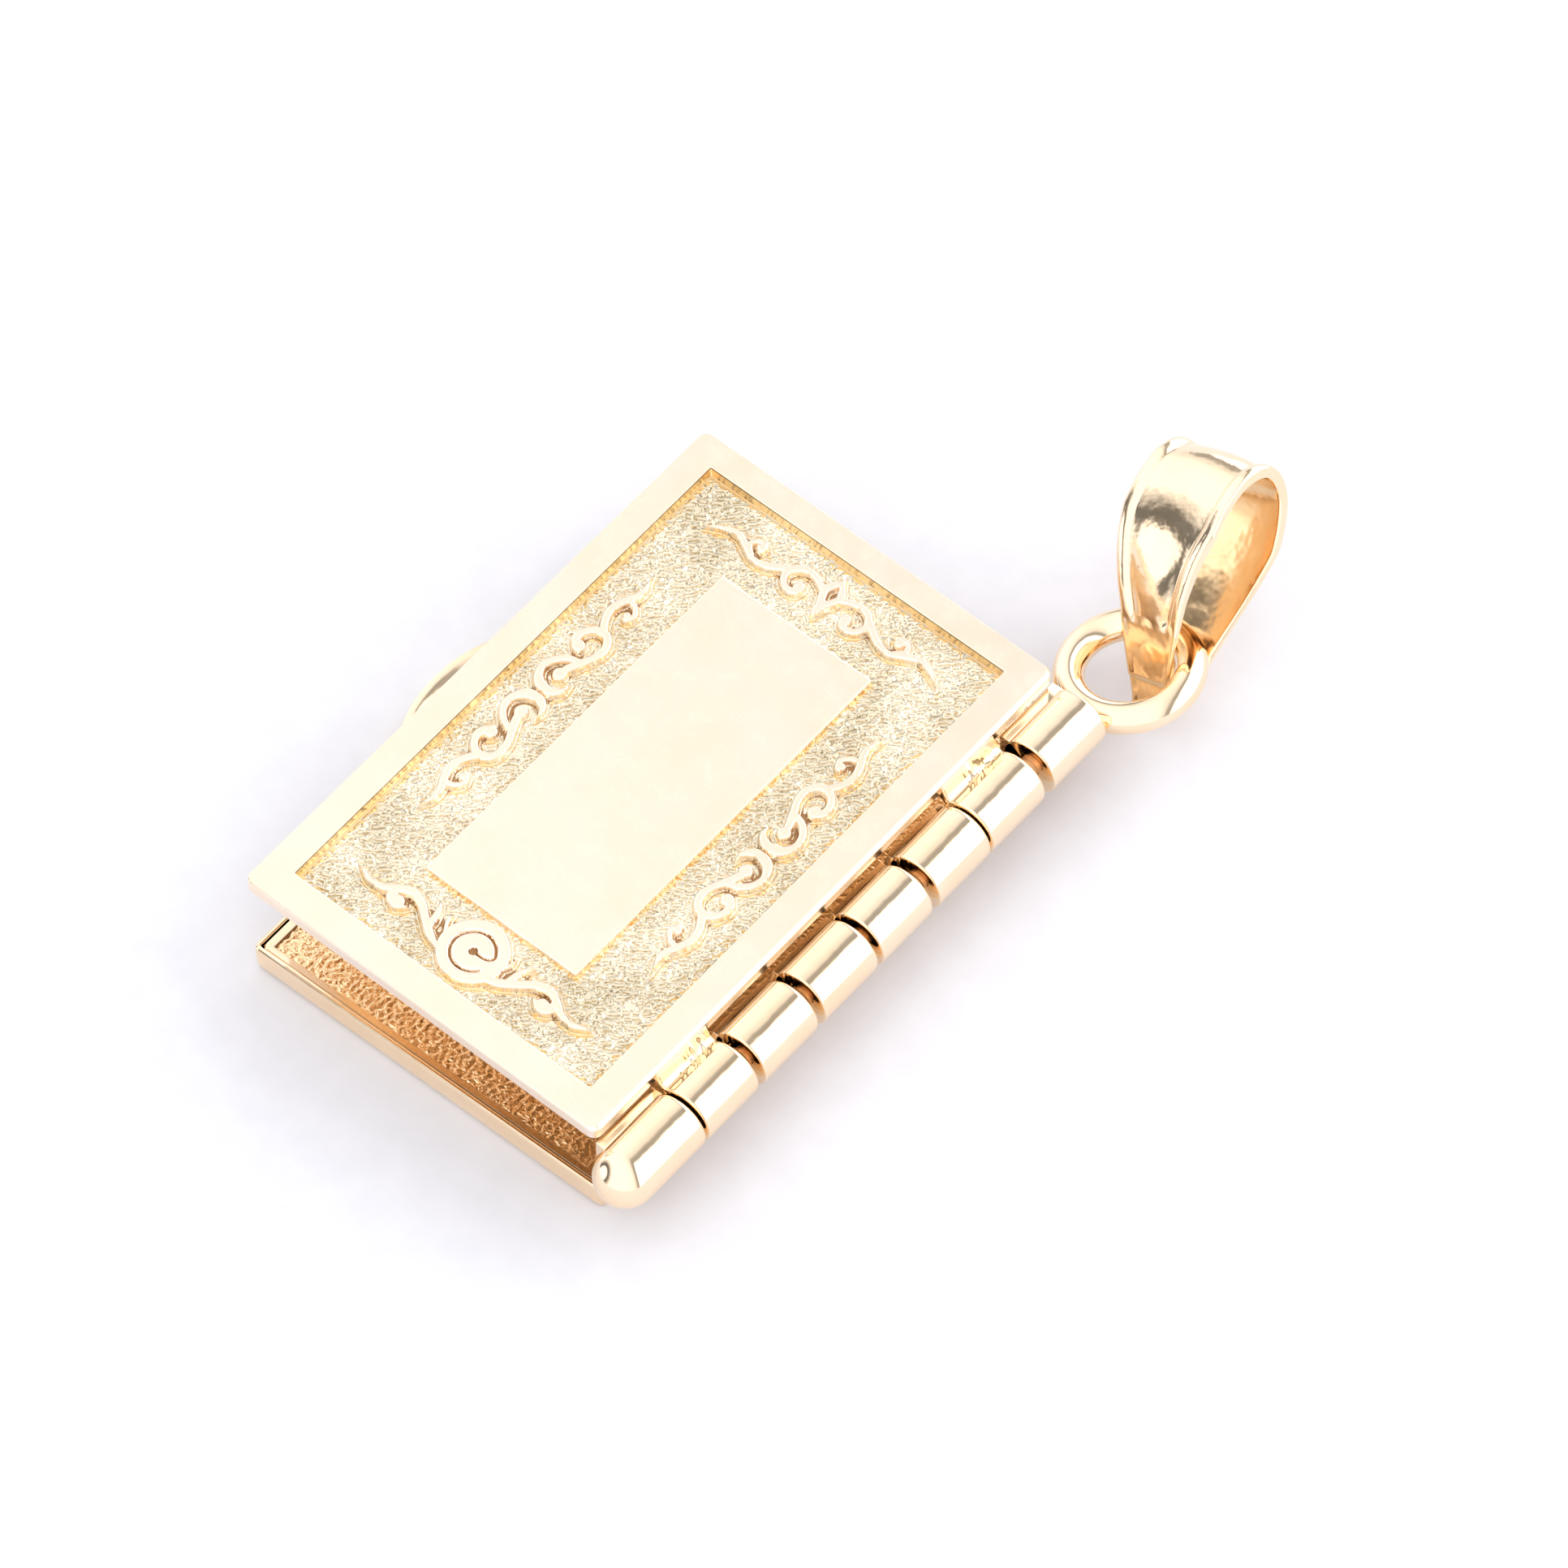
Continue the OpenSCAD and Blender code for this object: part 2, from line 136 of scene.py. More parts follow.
# Hinge
AXIS_X, AXIS_Z = 7.64, 2.5
BARREL_R = 0.95
PIN_R = 0.33
PIN_PLAY = 0.03
END_PLAY = 0.01
PIN_SEAT = 1.5
HEAD_END, DOME_Y = 9.97, -10.18
HEAD_EASE = [(0.0, 0.13), (0.012, 0.075), (0.045, 0.028), (0.11, 0.0), (0.15, 0.0)]
TAIL_EASE = [(0.09, 0.0), (0.06, 0.0), (0.02, 0.015), (0.0, 0.06)]
DENT_H, DENT_BLUR = 0.022, 1.3
GAP_Y = (7.39, 4.80, 2.32, -0.145, -2.735, -5.345, -7.71)
GAP_W = (0.36, 0.07, 0.28, 0.18, 0.26, 0.24, 0.09)

# Ring
RING_C = (7.6, 12.2, 2.13)
RING_R = 1.79
WIRE_R = 0.48
RING_TILT = math.radians(9)

# Bail
BAIL_C = (8.296, 12.364, 1.1)
BAIL_TURN = (-118.35, -35.69, 107.63)
BAIL_W = 3.6
BAIL_TIP_W = 1.35
BAIL_FULL = 5.2
TIP_END = (1.95, 2.3)
TIP_STEP, TIP_STEP_X, TIP_STEP_RUN = 0.05, 0.5, 0.07

# Section of its strip: distance in from the rim, height of the bead and height on the tip
BEAD = [(0.0, -0.09, -0.06), (0.015, -0.05, -0.03), (0.05, -0.02, -0.01),
        (0.12, -0.004, -0.012), (0.2, 0.0, -0.035), (0.29, -0.01, -0.04),
        (0.37, -0.04, -0.04), (0.43, -0.085, -0.04), (0.47, -0.115, -0.04),
        (0.52, -0.11, -0.04)]
BAND_FOOT = -0.105
BAND_CROWN = 0.1

# Its inner side: share of the half width in from the rim, and height
BAND_INSIDE = [(0.0, -0.04), (0.02, -0.012), (0.06, 0.0), (0.35, 0.0), (0.7, 0.0), (1.0, 0.0)]

# Its loop seen from the side, from the narrow tip along the front to the broad end and back
LOOP_OUTER = [(-0.42, -0.02), (-0.02, -0.27), (0.55, -0.53), (1.3, -0.87), (2.2, -1.25),
              (3.1, -1.61), (4.1, -1.83), (5.1, -1.8), (6.1, -1.56), (6.95, -1.1),
              (7.44, -0.42), (7.4, 0.3), (6.9, 0.92), (6.05, 1.28), (5.0, 1.38),
              (3.9, 1.29), (2.9, 1.12), (2.0, 0.98), (1.1, 0.83), (0.3, 0.6), (-0.27, 0.3)]
LOOP_INNER = [(0.05, 0.04), (0.7, -0.38), (1.4, -0.7), (2.2, -1.02), (3.1, -1.35),
              (4.1, -1.52), (5.1, -1.48), (6.0, -1.24), (6.66, -0.86), (7.06, -0.3),
              (7.0, 0.2), (6.6, 0.66), (5.9, 0.94), (5.0, 1.06), (3.9, 1.01), (2.9, 0.88),
              (2.0, 0.74), (1.1, 0.6), (0.4, 0.4)]

# Strokes of the scrolls as x, y and width, one half of each ornament
SCROLL_HEAD = [
    [(0.82, 7.68, 0.30), (0.88, 7.46, 0.34), (1.12, 7.37, 0.30), (1.38, 7.53, 0.30),
     (1.48, 7.84, 0.32), (1.30, 8.14, 0.34), (0.96, 8.25, 0.30), (0.60, 8.17, 0.30),
     (0.28, 8.00, 0.26)],
    [(1.34, 8.08, 0.30), (1.70, 7.84, 0.34), (2.10, 7.60, 0.32), (2.55, 7.53, 0.28),
     (2.95, 7.74, 0.32), (3.40, 7.93, 0.30), (3.80, 7.84, 0.24), (4.15, 7.66, 0.16),
     (4.38, 7.46, 0.06)],
    [(2.66, 7.64, 0.22), (2.90, 7.84, 0.28), (2.84, 8.08, 0.26), (2.56, 8.16, 0.22),
     (2.28, 8.02, 0.08)]]
SCROLL_TAIL = [
    [(0.80, -8.30, 0.20), (1.30, -8.06, 0.36), (1.70, -7.78, 0.36), (2.12, -7.46, 0.36),
     (2.56, -7.34, 0.36), (2.98, -7.52, 0.34), (3.36, -7.76, 0.30), (3.76, -7.80, 0.26),
     (4.10, -7.68, 0.18), (4.34, -7.58, 0.06)],
    [(2.94, -7.56, 0.30), (2.96, -7.84, 0.34), (2.72, -7.98, 0.32), (2.44, -7.88, 0.20),
     (2.28, -7.76, 0.06)],
    [(1.46, -7.90, 0.30), (1.52, -7.55, 0.30), (1.62, -7.22, 0.22), (1.80, -7.00, 0.06)],
    [(0.98, -7.75, 0.20), (1.16, -7.42, 0.20), (1.16, -7.10, 0.06)]]
SCROLL_SIDE = [
    [(3.74, 0.80, 0.08), (3.76, 0.44, 0.26), (4.06, 0.20, 0.40), (4.50, 0.28, 0.42),
     (4.74, 0.66, 0.32), (4.68, 1.06, 0.32), (4.42, 1.36, 0.32), (4.10, 1.50, 0.28)],
    [(4.20, 0.82, 0.28), (4.14, 1.12, 0.34), (3.98, 1.50, 0.34), (3.80, 1.90, 0.32),
     (3.76, 2.34, 0.34), (4.00, 2.68, 0.36), (4.38, 2.66, 0.34), (4.62, 2.36, 0.32),
     (4.62, 2.00, 0.34), (4.42, 1.88, 0.26)],
    [(4.16, 2.72, 0.34), (4.42, 3.12, 0.34), (4.52, 3.55, 0.34), (4.40, 3.96, 0.34),
     (4.24, 4.30, 0.32), (4.20, 4.65, 0.24), (4.30, 4.96, 0.14), (4.36, 5.22, 0.05)],
    [(4.34, 4.04, 0.26), (4.06, 3.98, 0.26), (3.86, 3.74, 0.26), (3.94, 3.48, 0.24),
     (4.08, 3.44, 0.14)]]
SIDE_MIDDLE = 0.1
ENDS_HEAD = [(0.88, 7.62, 0.22), (2.58, 7.99, 0.19)]
ENDS_TAIL = [(2.70, -7.86, 0.28)]
ENDS_SIDE = [(4.20, 0.84, 0.25), (4.42, 1.92, 0.25), (4.02, 3.60, 0.16)]
FLEUR = [(0, 8.82), (0.14, 8.58), (0.36, 8.34), (0.46, 8.12), (0.38, 7.86), (0.22, 7.56),
         (0.12, 7.2), (0, 7.0), (-0.12, 7.2), (-0.22, 7.56), (-0.38, 7.86), (-0.46, 8.12),
         (-0.36, 8.34), (-0.14, 8.58)]
LOZENGE = [(0.02, 8.30), (0.12, 8.06), (0.02, 7.82), (-0.08, 8.06)]
MEDAL_C = (0.05, -7.74)
MEDAL_R = 1.12
VOLUTE_R = 0.66


# Materials
def node_tree(material):
    """Node tree of a material and its shader."""
    material.use_nodes = True
    tree = material.node_tree
    return tree, tree.nodes["Principled BSDF"]


def noise(tree, coords, scale, stretch=(1, 1, 1), turn=0.0, detail=2.0, rough=0.5):
    """Noise over the object's own coordinates, drawn out along a turned axis."""
    mapping = tree.nodes.new("ShaderNodeMapping")
    mapping.inputs["Rotation"].default_value = (0, 0, turn)
    mapping.inputs["Scale"].default_value = stretch
    texture = tree.nodes.new("ShaderNodeTexNoise")
    texture.inputs["Scale"].default_value = scale
    texture.inputs["Detail"].default_value = detail
    texture.inputs["Roughness"].default_value = rough
    tree.links.new(coords, mapping.inputs["Vector"])
    tree.links.new(mapping.outputs["Vector"], texture.inputs["Vector"])
    return texture.outputs["Fac"]


def ramp(tree, value, stops):
    """Colour ramp whose stops are (place, grey or colour)."""
    node = tree.nodes.new("ShaderNodeValToRGB")
    elements = node.color_ramp.elements
    while len(elements) < len(stops):
        elements.new(0.5)
    for element, (place, colour) in zip(elements, stops):
        element.position = place
        grey = isinstance(colour, (int, float))
        element.color = (colour, colour, colour, 1) if grey else (*colour, 1)
    tree.links.new(value, node.inputs["Fac"])
    return node.outputs["Color"]


def math_node(tree, operation, *values):
    """Sum, product or the like of numbers and other nodes' values."""
    node = tree.nodes.new("ShaderNodeMath")
    node.operation = operation
    for k, value in enumerate(values):
        if isinstance(value, (int, float)):
            node.inputs[k].default_value = value
        else:
            tree.links.new(value, node.inputs[k])
    return node.outputs["Value"]


def bump(tree, height, distance, normal=None):
    """Normals of a surface that stands out by height times distance, on top of others."""
    node = tree.nodes.new("ShaderNodeBump")
    node.inputs["Strength"].default_value = 1.0
    node.inputs["Distance"].default_value = distance
    tree.links.new(height, node.inputs["Height"])
    if normal is not None:
        tree.links.new(normal, node.inputs["Normal"])
    return node.outputs["Normal"]


# Noise scales per metre, and how scratches are turned and how far they are drawn out
PATCH_SCALE, WEAR_SCALE, SCRATCH_SCALE = 420, 1500, 3200
SCRATCH_TURNS = (0.35, 1.25, 2.5)
SCRATCH_DRAWN = 14


def gold(name, light, deep, rough, scratch=0.0004, wave=0.0008, pitch=1.1):
    """Gold with patches of a deeper colour and uneven gloss between the two values of rough.
    Fine scratches and soft waves stand out by scratch and wave, and pitch is the waves' width."""
    material = bpy.data.materials.new(name)
    tree, shader = node_tree(material)
    coords = tree.nodes.new("ShaderNodeTexCoord").outputs["Object"]
    shader.inputs["Metallic"].default_value = 1.0
    shader.inputs["IOR"].default_value = 1.45

    patches = noise(tree, coords, PATCH_SCALE, detail=4)
    colour = ramp(tree, patches, [(0.35, deep), (0.62, light)])
    tree.links.new(colour, shader.inputs["Base Color"])

    wear = noise(tree, coords, WEAR_SCALE, detail=5, rough=0.65)
    spread = ramp(tree, wear, [(0.3, rough[0]), (0.7, rough[1])])
    tree.links.new(spread, shader.inputs["Roughness"])

    lines = None
    for turn in SCRATCH_TURNS:
        one = noise(tree, coords, SCRATCH_SCALE, stretch=(1, SCRATCH_DRAWN, SCRATCH_DRAWN),
                    turn=turn, detail=3)
        lines = one if lines is None else math_node(tree, "ADD", lines, one)
    scratched = bump(tree, lines, scratch * MM)
    soft = noise(tree, coords, 1 / (pitch * MM), detail=2)
    waved = bump(tree, soft, wave * MM, scratched)
    tree.links.new(waved, shader.inputs["Normal"])
    return material


PLAIN = (1.0, 0.80, 0.58), (0.98, 0.76, 0.52)
PALE = (1.0, 0.85, 0.71), (1.0, 0.83, 0.66)
# A deeper gold, painted shade for the bail's tip and inner side
DEEP_PAINTED_SHADE = (1.0, 0.72, 0.43), (0.95, 0.66, 0.37)
satin = gold("gold_satin", *PALE, (0.20, 0.30), 0.0011, 0.003)
polished = gold("gold_polished", *PLAIN, (0.05, 0.11), 0.00015, 0.010)
stippled = gold("gold_stippled", (0.86, 0.76, 0.61), (0.68, 0.59, 0.44), (0.10, 0.18))
cast = gold("gold_cast", *PLAIN, (0.06, 0.14), 0.0003, 0.016, pitch=0.5)
shaded = gold("gold_shaded", *DEEP_PAINTED_SHADE, (0.12, 0.22), wave=0.034, pitch=0.8)
# A deeper gold, painted shade for the leaves' fields under the cover
grained_painted_shade = gold("gold_grained_painted_shade", (1.0, 0.75, 0.47), (0.97, 0.69, 0.40), (0.14, 0.24), wave=0.045,
               pitch=0.12)
# Painted shade: a warmer gold for ground beside raised edges and for the frame's inner wall
warm_painted_shade = gold("gold_warm_painted_shade", (0.96, 0.72, 0.42), (0.86, 0.60, 0.30), (0.14, 0.24))
# Painted shade: a dark gold for the line along the frame's inner edge
painted_shade_line = gold("gold_painted_shade_line", (0.40, 0.33, 0.20), (0.32, 0.25, 0.14), (0.25, 0.35))
# Painted shade: a dark gold for narrow gaps and cut lines in the front's field
dark_painted_shade = gold("gold_dark_painted_shade", (0.42, 0.24, 0.12), (0.34, 0.19, 0.09), (0.35, 0.50), 0.0006, 0.002)
# Painted shade: a brown for the pin, seen in the gaps between knuckles
painted_shade_brown = gold("gold_painted_shade_brown", (0.72, 0.44, 0.26), (0.60, 0.36, 0.20), (0.35, 0.50), 0.0006, 0.002)


# Meshes
def add_piece(name, points, faces, body, material, sharp=35):
    """Makes one piece from points in millimetres that rides on a body."""
    mesh = bpy.data.meshes.new(name)
    mesh.from_pydata(np.asarray(points, float) * MM, [], faces)
    mesh.validate()
    mesh.shade_smooth()
    mesh.set_sharp_from_angle(angle=math.radians(sharp))
    mesh.materials.append(material)
    piece = bpy.data.objects.new(name, mesh)
    bpy.context.scene.collection.objects.link(piece)
    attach(piece, body)
    return piece


def tint(piece, materials, tones):
    """Gives further materials to the first faces of a piece, by number in tones."""
    for material in materials:
        piece.data.materials.append(material)
    index = np.zeros(len(piece.data.polygons), dtype=np.int32)
    index[:len(tones)] = tones
    piece.data.polygons.foreach_set("material_index", index)


def skin(loops, cap_start=False, cap_end=False, closed=False):
    """Quads between loops of equal length, with flat caps or joined end to end."""
    count = len(loops[0])
    points = np.concatenate([np.asarray(loop, float) for loop in loops])
    faces = []
    pairs = len(loops) if closed else len(loops) - 1
    for i in range(pairs):
        a, b = i * count, ((i + 1) % len(loops)) * count
        for j in range(count):
            k = (j + 1) % count
            faces.append((a + j, a + k, b + k, b + j))
    if cap_start:
        faces.append(tuple(range(count - 1, -1, -1)))
    if cap_end:
        last = (len(loops) - 1) * count
        faces.append(tuple(range(last, last + count)))
    return points, faces


def join(parts):
    """One list of points and faces from several."""
    points, faces, start = [], [], 0
    for p, f in parts:
        points.append(p)
        faces.extend(tuple(i + start for i in face) for face in f)
        start += len(p)
    return np.concatenate(points), faces


def corner_loop(x0, x1, y0, y1, r, z, steps=8):
    """Rounded rectangle at height z, counter-clockwise from above."""
    r = max(r, 0.01)
    points = []
    corners = ((x1 - r, y0 + r, -90), (x1 - r, y1 - r, 0), (x0 + r, y1 - r, 90),
               (x0 + r, y0 + r, 180))
    for cx, cy, start in corners:
        for i in range(steps + 1):
            a = math.radians(start + 90 * i / steps)
            points.append((cx + r * math.cos(a), cy + r * math.sin(a), z))
    return points


def grid_slab(xs, ys, top, z_bottom):
    """Closed slab whose upper face is the relief top[i, j] over xs and ys."""
    nx, ny = len(xs), len(ys)
    gx, gy = np.meshgrid(xs, ys, indexing="ij")
    upper = np.stack([gx, gy, top], axis=-1).reshape(-1, 3)
    index = np.arange(nx * ny).reshape(nx, ny)
    quads = np.stack([index[:-1, :-1], index[1:, :-1], index[1:, 1:], index[:-1, 1:]], axis=-1)
    rim = np.concatenate([index[:-1, 0], index[-1, :-1], index[:0:-1, -1], index[0, :0:-1]])
    lower = upper[rim].copy()
    lower[:, 2] = z_bottom
    start = nx * ny
    count = len(rim)
    faces = quads.reshape(-1, 4).tolist()
    for i in range(count):
        k = (i + 1) % count
        faces.append((int(rim[i]), start + i, start + k, int(rim[k])))
    faces.append(tuple(range(start + count - 1, start - 1, -1)))
    return np.concatenate([upper, lower]), faces


def opened(points, shift=COVER_SHIFT):
    """Points of the closed front cover turned up by the rest angle about the hinge."""
    p = np.array(points, float)
    dx, dz = p[:, 0] - AXIS_X, p[:, 2] - AXIS_Z
    c, s = math.cos(REST_ANGLE), math.sin(REST_ANGLE)
    p[:, 0] = AXIS_X + dx * c + dz * s
    p[:, 2] = AXIS_Z - dx * s + dz * c
    p[:, 1] -= shift
    return p


# Curves
def spline(a, b, c, d, t):
    """Point of a smooth curve between b and c."""
    return 0.5 * (2 * b + (c - a) * t + (2 * a - 5 * b + 4 * c - d) * t * t
                  + (3 * b - a - 3 * c + d) * t ** 3)


def smooth_open(points, steps):
    """Smooth curve through points, in some steps from each to the next."""
    p = np.array(points, float)
    n = len(p)
    out = [spline(p[max(i - 1, 0)], p[i], p[i + 1], p[min(i + 2, n - 1)], j / steps)
           for i in range(n - 1) for j in range(steps)]
    return np.array(out + [p[-1]])


def smooth_closed(points, steps, count):
    """Smooth closed curve with count points at even spacing."""
    p = np.array(points, float)
    n = len(p)
    out = np.array([spline(p[i - 1], p[i], p[(i + 1) % n], p[(i + 2) % n], j / steps)
                    for i in range(n) for j in range(steps)])
    out = np.vstack([out, out[:1]])
    length = np.concatenate([[0], np.cumsum(np.linalg.norm(np.diff(out, axis=0), axis=1))])
    even = np.linspace(0, length[-1], count, endpoint=False)
    return np.stack([np.interp(even, length, out[:, k]) for k in range(out.shape[1])], axis=1)


def outward(loop):
    """Normals on the right of a closed plane curve, which point out of a left-turning one."""
    along = np.roll(loop, -1, axis=0) - np.roll(loop, 1, axis=0)
    along /= np.linalg.norm(along, axis=1)[:, None]
    return np.stack([along[:, 1], -along[:, 0]], axis=1)


def smoothstep(x):
    """Soft rise from 0 to 1."""
    x = np.clip(x, 0, 1)
    return x * x * (3 - 2 * x)


# Relief of the front
# A distance beyond every edge, and how far past a shape its distances are worked out
FAR = 9.0
REACH = 0.3
STROKE_STEPS = 14

# Bumps of a stipple: the blurs that bound their size, in pitches, and how much of the
# wider one comes off
FINE, COARSE, COARSE_SHARE = 0.2, 0.36, 0.6


class Relief:
    """Distances from the edges of the ornament on a grid, negative inside."""

    def __init__(self, xs, ys):
        self.xs, self.ys = xs, ys
        self.d = np.full((len(xs), len(ys)), FAR)

    def window(self, x0, x1, y0, y1):
        """Part of the grid between bounds, and its places."""
        i0, i1 = np.searchsorted(self.xs, (x0, x1))
        j0, j1 = np.searchsorted(self.ys, (y0, y1))
        place = np.s_[i0:i1, j0:j1]
        gx, gy = np.meshgrid(self.xs[i0:i1], self.ys[j0:j1], indexing="ij")
        return place, gx, gy

    def disc(self, x, y, r):
        """Adds a disc."""
        reach = r + REACH
        place, gx, gy = self.window(x - reach, x + reach, y - reach, y + reach)
        self.d[place] = np.minimum(self.d[place], np.hypot(gx - x, gy - y) - r)

    def stroke(self, points):
        """Discs close together along a curve through points of x, y and width."""
        for x, y, w in smooth_open(points, STROKE_STEPS):
            self.disc(x, y, w / 2)

    def polygon(self, points, cut=False):
        """Adds a closed polygon, or cuts it out."""
        p = np.array(points, float)
        lo, hi = p.min(0) - REACH, p.max(0) + REACH
        place, gx, gy = self.window(lo[0], hi[0], lo[1], hi[1])
        d = np.full(gx.shape, FAR)
        inside = np.zeros(gx.shape, bool)
        for a, b in zip(p, np.roll(p, -1, axis=0)):
            e = b - a
            t = np.clip(((gx - a[0]) * e[0] + (gy - a[1]) * e[1]) / (e @ e), 0, 1)
            d = np.minimum(d, np.hypot(gx - a[0] - t * e[0], gy - a[1] - t * e[1]))
            if a[1] != b[1]:
                crosses = (a[1] > gy) != (b[1] > gy)
                inside ^= crosses & (gx < a[0] + (gy - a[1]) / e[1] * e[0])
        d[inside] *= -1
        old = self.d[place]
        self.d[place] = np.maximum(old, -d) if cut else np.minimum(old, d)


def ornament(xs, ys):
    """Distance field of all the scrolls, the fleur and the medallion."""
    relief = Relief(xs, ys)
    for side in (1, -1):
        for strokes, ends in ((SCROLL_HEAD, ENDS_HEAD), (SCROLL_TAIL, ENDS_TAIL)):
            for p in strokes:
                relief.stroke([(side * x, y, w) for x, y, w in p])
            for x, y, r in ends:
                relief.disc(side * x, y, r)
        for up in (1, -1):
            for p in SCROLL_SIDE:
                relief.stroke([(side * x, SIDE_MIDDLE + up * y, w) for x, y, w in p])
            for x, y, r in ENDS_SIDE:
                relief.disc(side * x, SIDE_MIDDLE + up * y, r)
    relief.polygon(FLEUR)
    relief.polygon(LOZENGE, cut=True)
    relief.disc(*MEDAL_C, MEDAL_R)
    return relief.d


def blur(field, sigma):
    """Field smoothed by a bell curve that is sigma cells wide."""
    reach = int(3 * sigma) + 1
    bell = np.exp(-0.5 * (np.arange(-reach, reach + 1) / sigma) ** 2)
    bell /= bell.sum()
    for axis in (0, 1):
        field = np.apply_along_axis(np.convolve, axis, field, bell, "same")
    return field


def stipple(xs, ys, pitch, height, seed, drawn=0):
    """Relief of close, uneven rounded bumps over a grid, from 0 to height, each drawn out
    by some cells both ways along the diagonal."""
    cell = xs[1] - xs[0]
    grain = np.random.default_rng(seed).standard_normal((len(xs), len(ys)))
    grain = sum(np.roll(grain, (n, n), axis=(0, 1)) for n in range(-drawn, drawn + 1))
    fine = blur(grain, FINE * pitch / cell)
    coarse = blur(grain, COARSE * pitch / cell)
    band = fine / fine.std() - COARSE_SHARE * coarse / coarse.std()
    return height * smoothstep(band / band.std() / 2 + 0.55)


def medal_groove(xs, ys):
    """Distance from the middle line of the medallion's spiral groove and from its dot."""
    line = Relief(xs, ys)
    turn = [(VOLUTE_R * math.cos(a), VOLUTE_R * math.sin(a))
            for a in np.radians(np.arange(18, 340, 18))]
    path = [(0.14, 0), (0.3, 0), (0.5, 0.04), *turn]
    line.stroke([(MEDAL_C[0] + x, MEDAL_C[1] + y, 0) for x, y in path])
    dot = Relief(xs, ys)
    dot.disc(*MEDAL_C, DOT_R)
    return line.d, dot.d


def field_relief(xs, ys):
    """Height above the floor of the front's sunk field with its ornament, and the tone of each
    cell: 1 for painted shade, a warmer ground below raised edges, 2 for painted shade, dark,
    in narrow gaps and the cut lines, 3 for the tops of the ornament."""
    gx, gy = np.meshgrid(xs, ys, indexing="ij")
    x_fore, y_head = xs[0], ys[-1]
    d = ornament(xs, ys)
    line, dot = medal_groove(xs, ys)

    bumps = stipple(xs, ys, STIPPLE_PITCH, STIPPLE_H, SEED, drawn=STIPPLE_DRAWN)
    fore = smoothstep((gx - x_fore - CALM_W) / CALM_RUN)
    head = smoothstep((y_head - gy - CALM_W) / CALM_RUN)
    beside = smoothstep((d - BESIDE_W) / BESIDE_RUN)
    floor = bumps * np.minimum(fore, head) * beside
    raised = FIELD_D * smoothstep(-d / EDGE_RUN)
    raised -= GROOVE_D * np.exp(-(line / GROOVE_W) ** 2)
    raised -= GROOVE_D * smoothstep(-dot / DOT_RUN)
    relief = np.where(d < 0, np.maximum(raised, 0), floor)

    # Painted shade: warmer ground on the spine and tail side of the walls, the panel and the
    # ornament
    cell = xs[1] - xs[0]
    walls = (gx < x_fore + WALL_BAND) | (gy > y_head - WALL_BAND)
    panel = (abs(gx) < PANEL_W / 2) & (abs(gy) < PANEL_H / 2)
    solid = (d < 0) | walls | panel
    away = np.full(d.shape, FAR)
    for n in range(PAINTED_SHADE_CELLS, 0, -1):
        shift = tuple(round(way * n) for way in PAINTED_SHADE_WAY)
        away[np.roll(solid, shift, axis=(0, 1))] = n * cell
    uneven = np.random.default_rng(SEED + 20).standard_normal(d.shape)
    uneven = blur(uneven, PAINTED_SHADE_BLUR)
    width = PAINTED_SHADE_W + PAINTED_SHADE_UNEVEN * uneven / uneven.std()
    painted_shade_strip = (d > 0) & (away < width)

    # Painted shade: dark ground in narrow gaps and along the cut lines
    crowded = (d > 0) & (blur((d < 0).astype(float), CROWD_R / cell) > CROWD_SHARE)
    cut = (line < LINE_HALF) | (dot < -DOT_EDGE)
    tones = np.where(d < -TOP_EDGE, 3, painted_shade_strip.astype(int))
    tones[crowded | cut] = 2
    return relief, tones


# Front cover
def front_plate():
    """Plate with its frame, from (inset, height, how far the spine side stands out)."""
    x, y = COVER_W / 2, COVER_H / 2
    z0, top = BOOK_T - PLATE_T, BOOK_T
    floor = top - FIELD_D
    outer = [(0.06, z0, 0.04), (0.015, z0 + 0.015, 0.085), (0, z0 + 0.06, SPINE_OUT),
             (0, top - 0.11, SPINE_OUT), (0, top - 0.075, 0.09), (0.005, top - 0.05, 0.065),
             (0.02, top - 0.02, 0.01), (0.045, top, -0.03)]
    inner = [(FRAME_W - 0.03, top), (FRAME_W - 0.012, top - 0.006),
             (FRAME_W + 0.004, top - 0.05), (FRAME_W + WALL_RUN, floor),
             (FRAME_W + WALL_RUN + 0.02, floor - SINK)]
    loops = [corner_loop(inset - x, x + spine, inset - y, y - inset, FRONT_CORNER - inset, z)
             for inset, z, spine in outer]
    loops += [corner_loop(inset - x, x - inset, inset - y + FIELD_SHIFT, y - inset + FIELD_SHIFT,
                          0.05, z) for inset, z in inner]
    points, faces = skin(loops, cap_start=True, cap_end=True)
    plate = add_piece("front_plate", opened(points), faces, "cover", satin,
                      sharp=12)
    # Painted shade: the frame's inner wall gets the warmer gold and its upper edge a dark line
    tones = np.zeros((len(loops) - 1, len(loops[0])), dtype=int)
    edge_row, wall_row = len(outer) + 1, len(outer) + 2
    tones[wall_row] = 1
    tones[edge_row] = 2
    tint(plate, (warm_painted_shade, painted_shade_line), tones.ravel())


def centre_panel():
    """Plain panel with eased edges."""
    hx, hy = PANEL_W / 2, PANEL_H / 2
    top = BOOK_T
    floor = top - FIELD_D
    profile = [(-SINK, floor - 0.05), (-SINK, floor), (0, top - 0.03), (0.01, top - 0.01),
               (0.04, top)]
    loops = [corner_loop(inset - hx, hx - inset, inset - hy, hy - inset, 0.07 - inset, z)
             for inset, z in profile]
    points, faces = skin(loops, cap_start=True, cap_end=True)
    add_piece("centre_panel", opened(points), faces, "cover", satin, sharp=12)


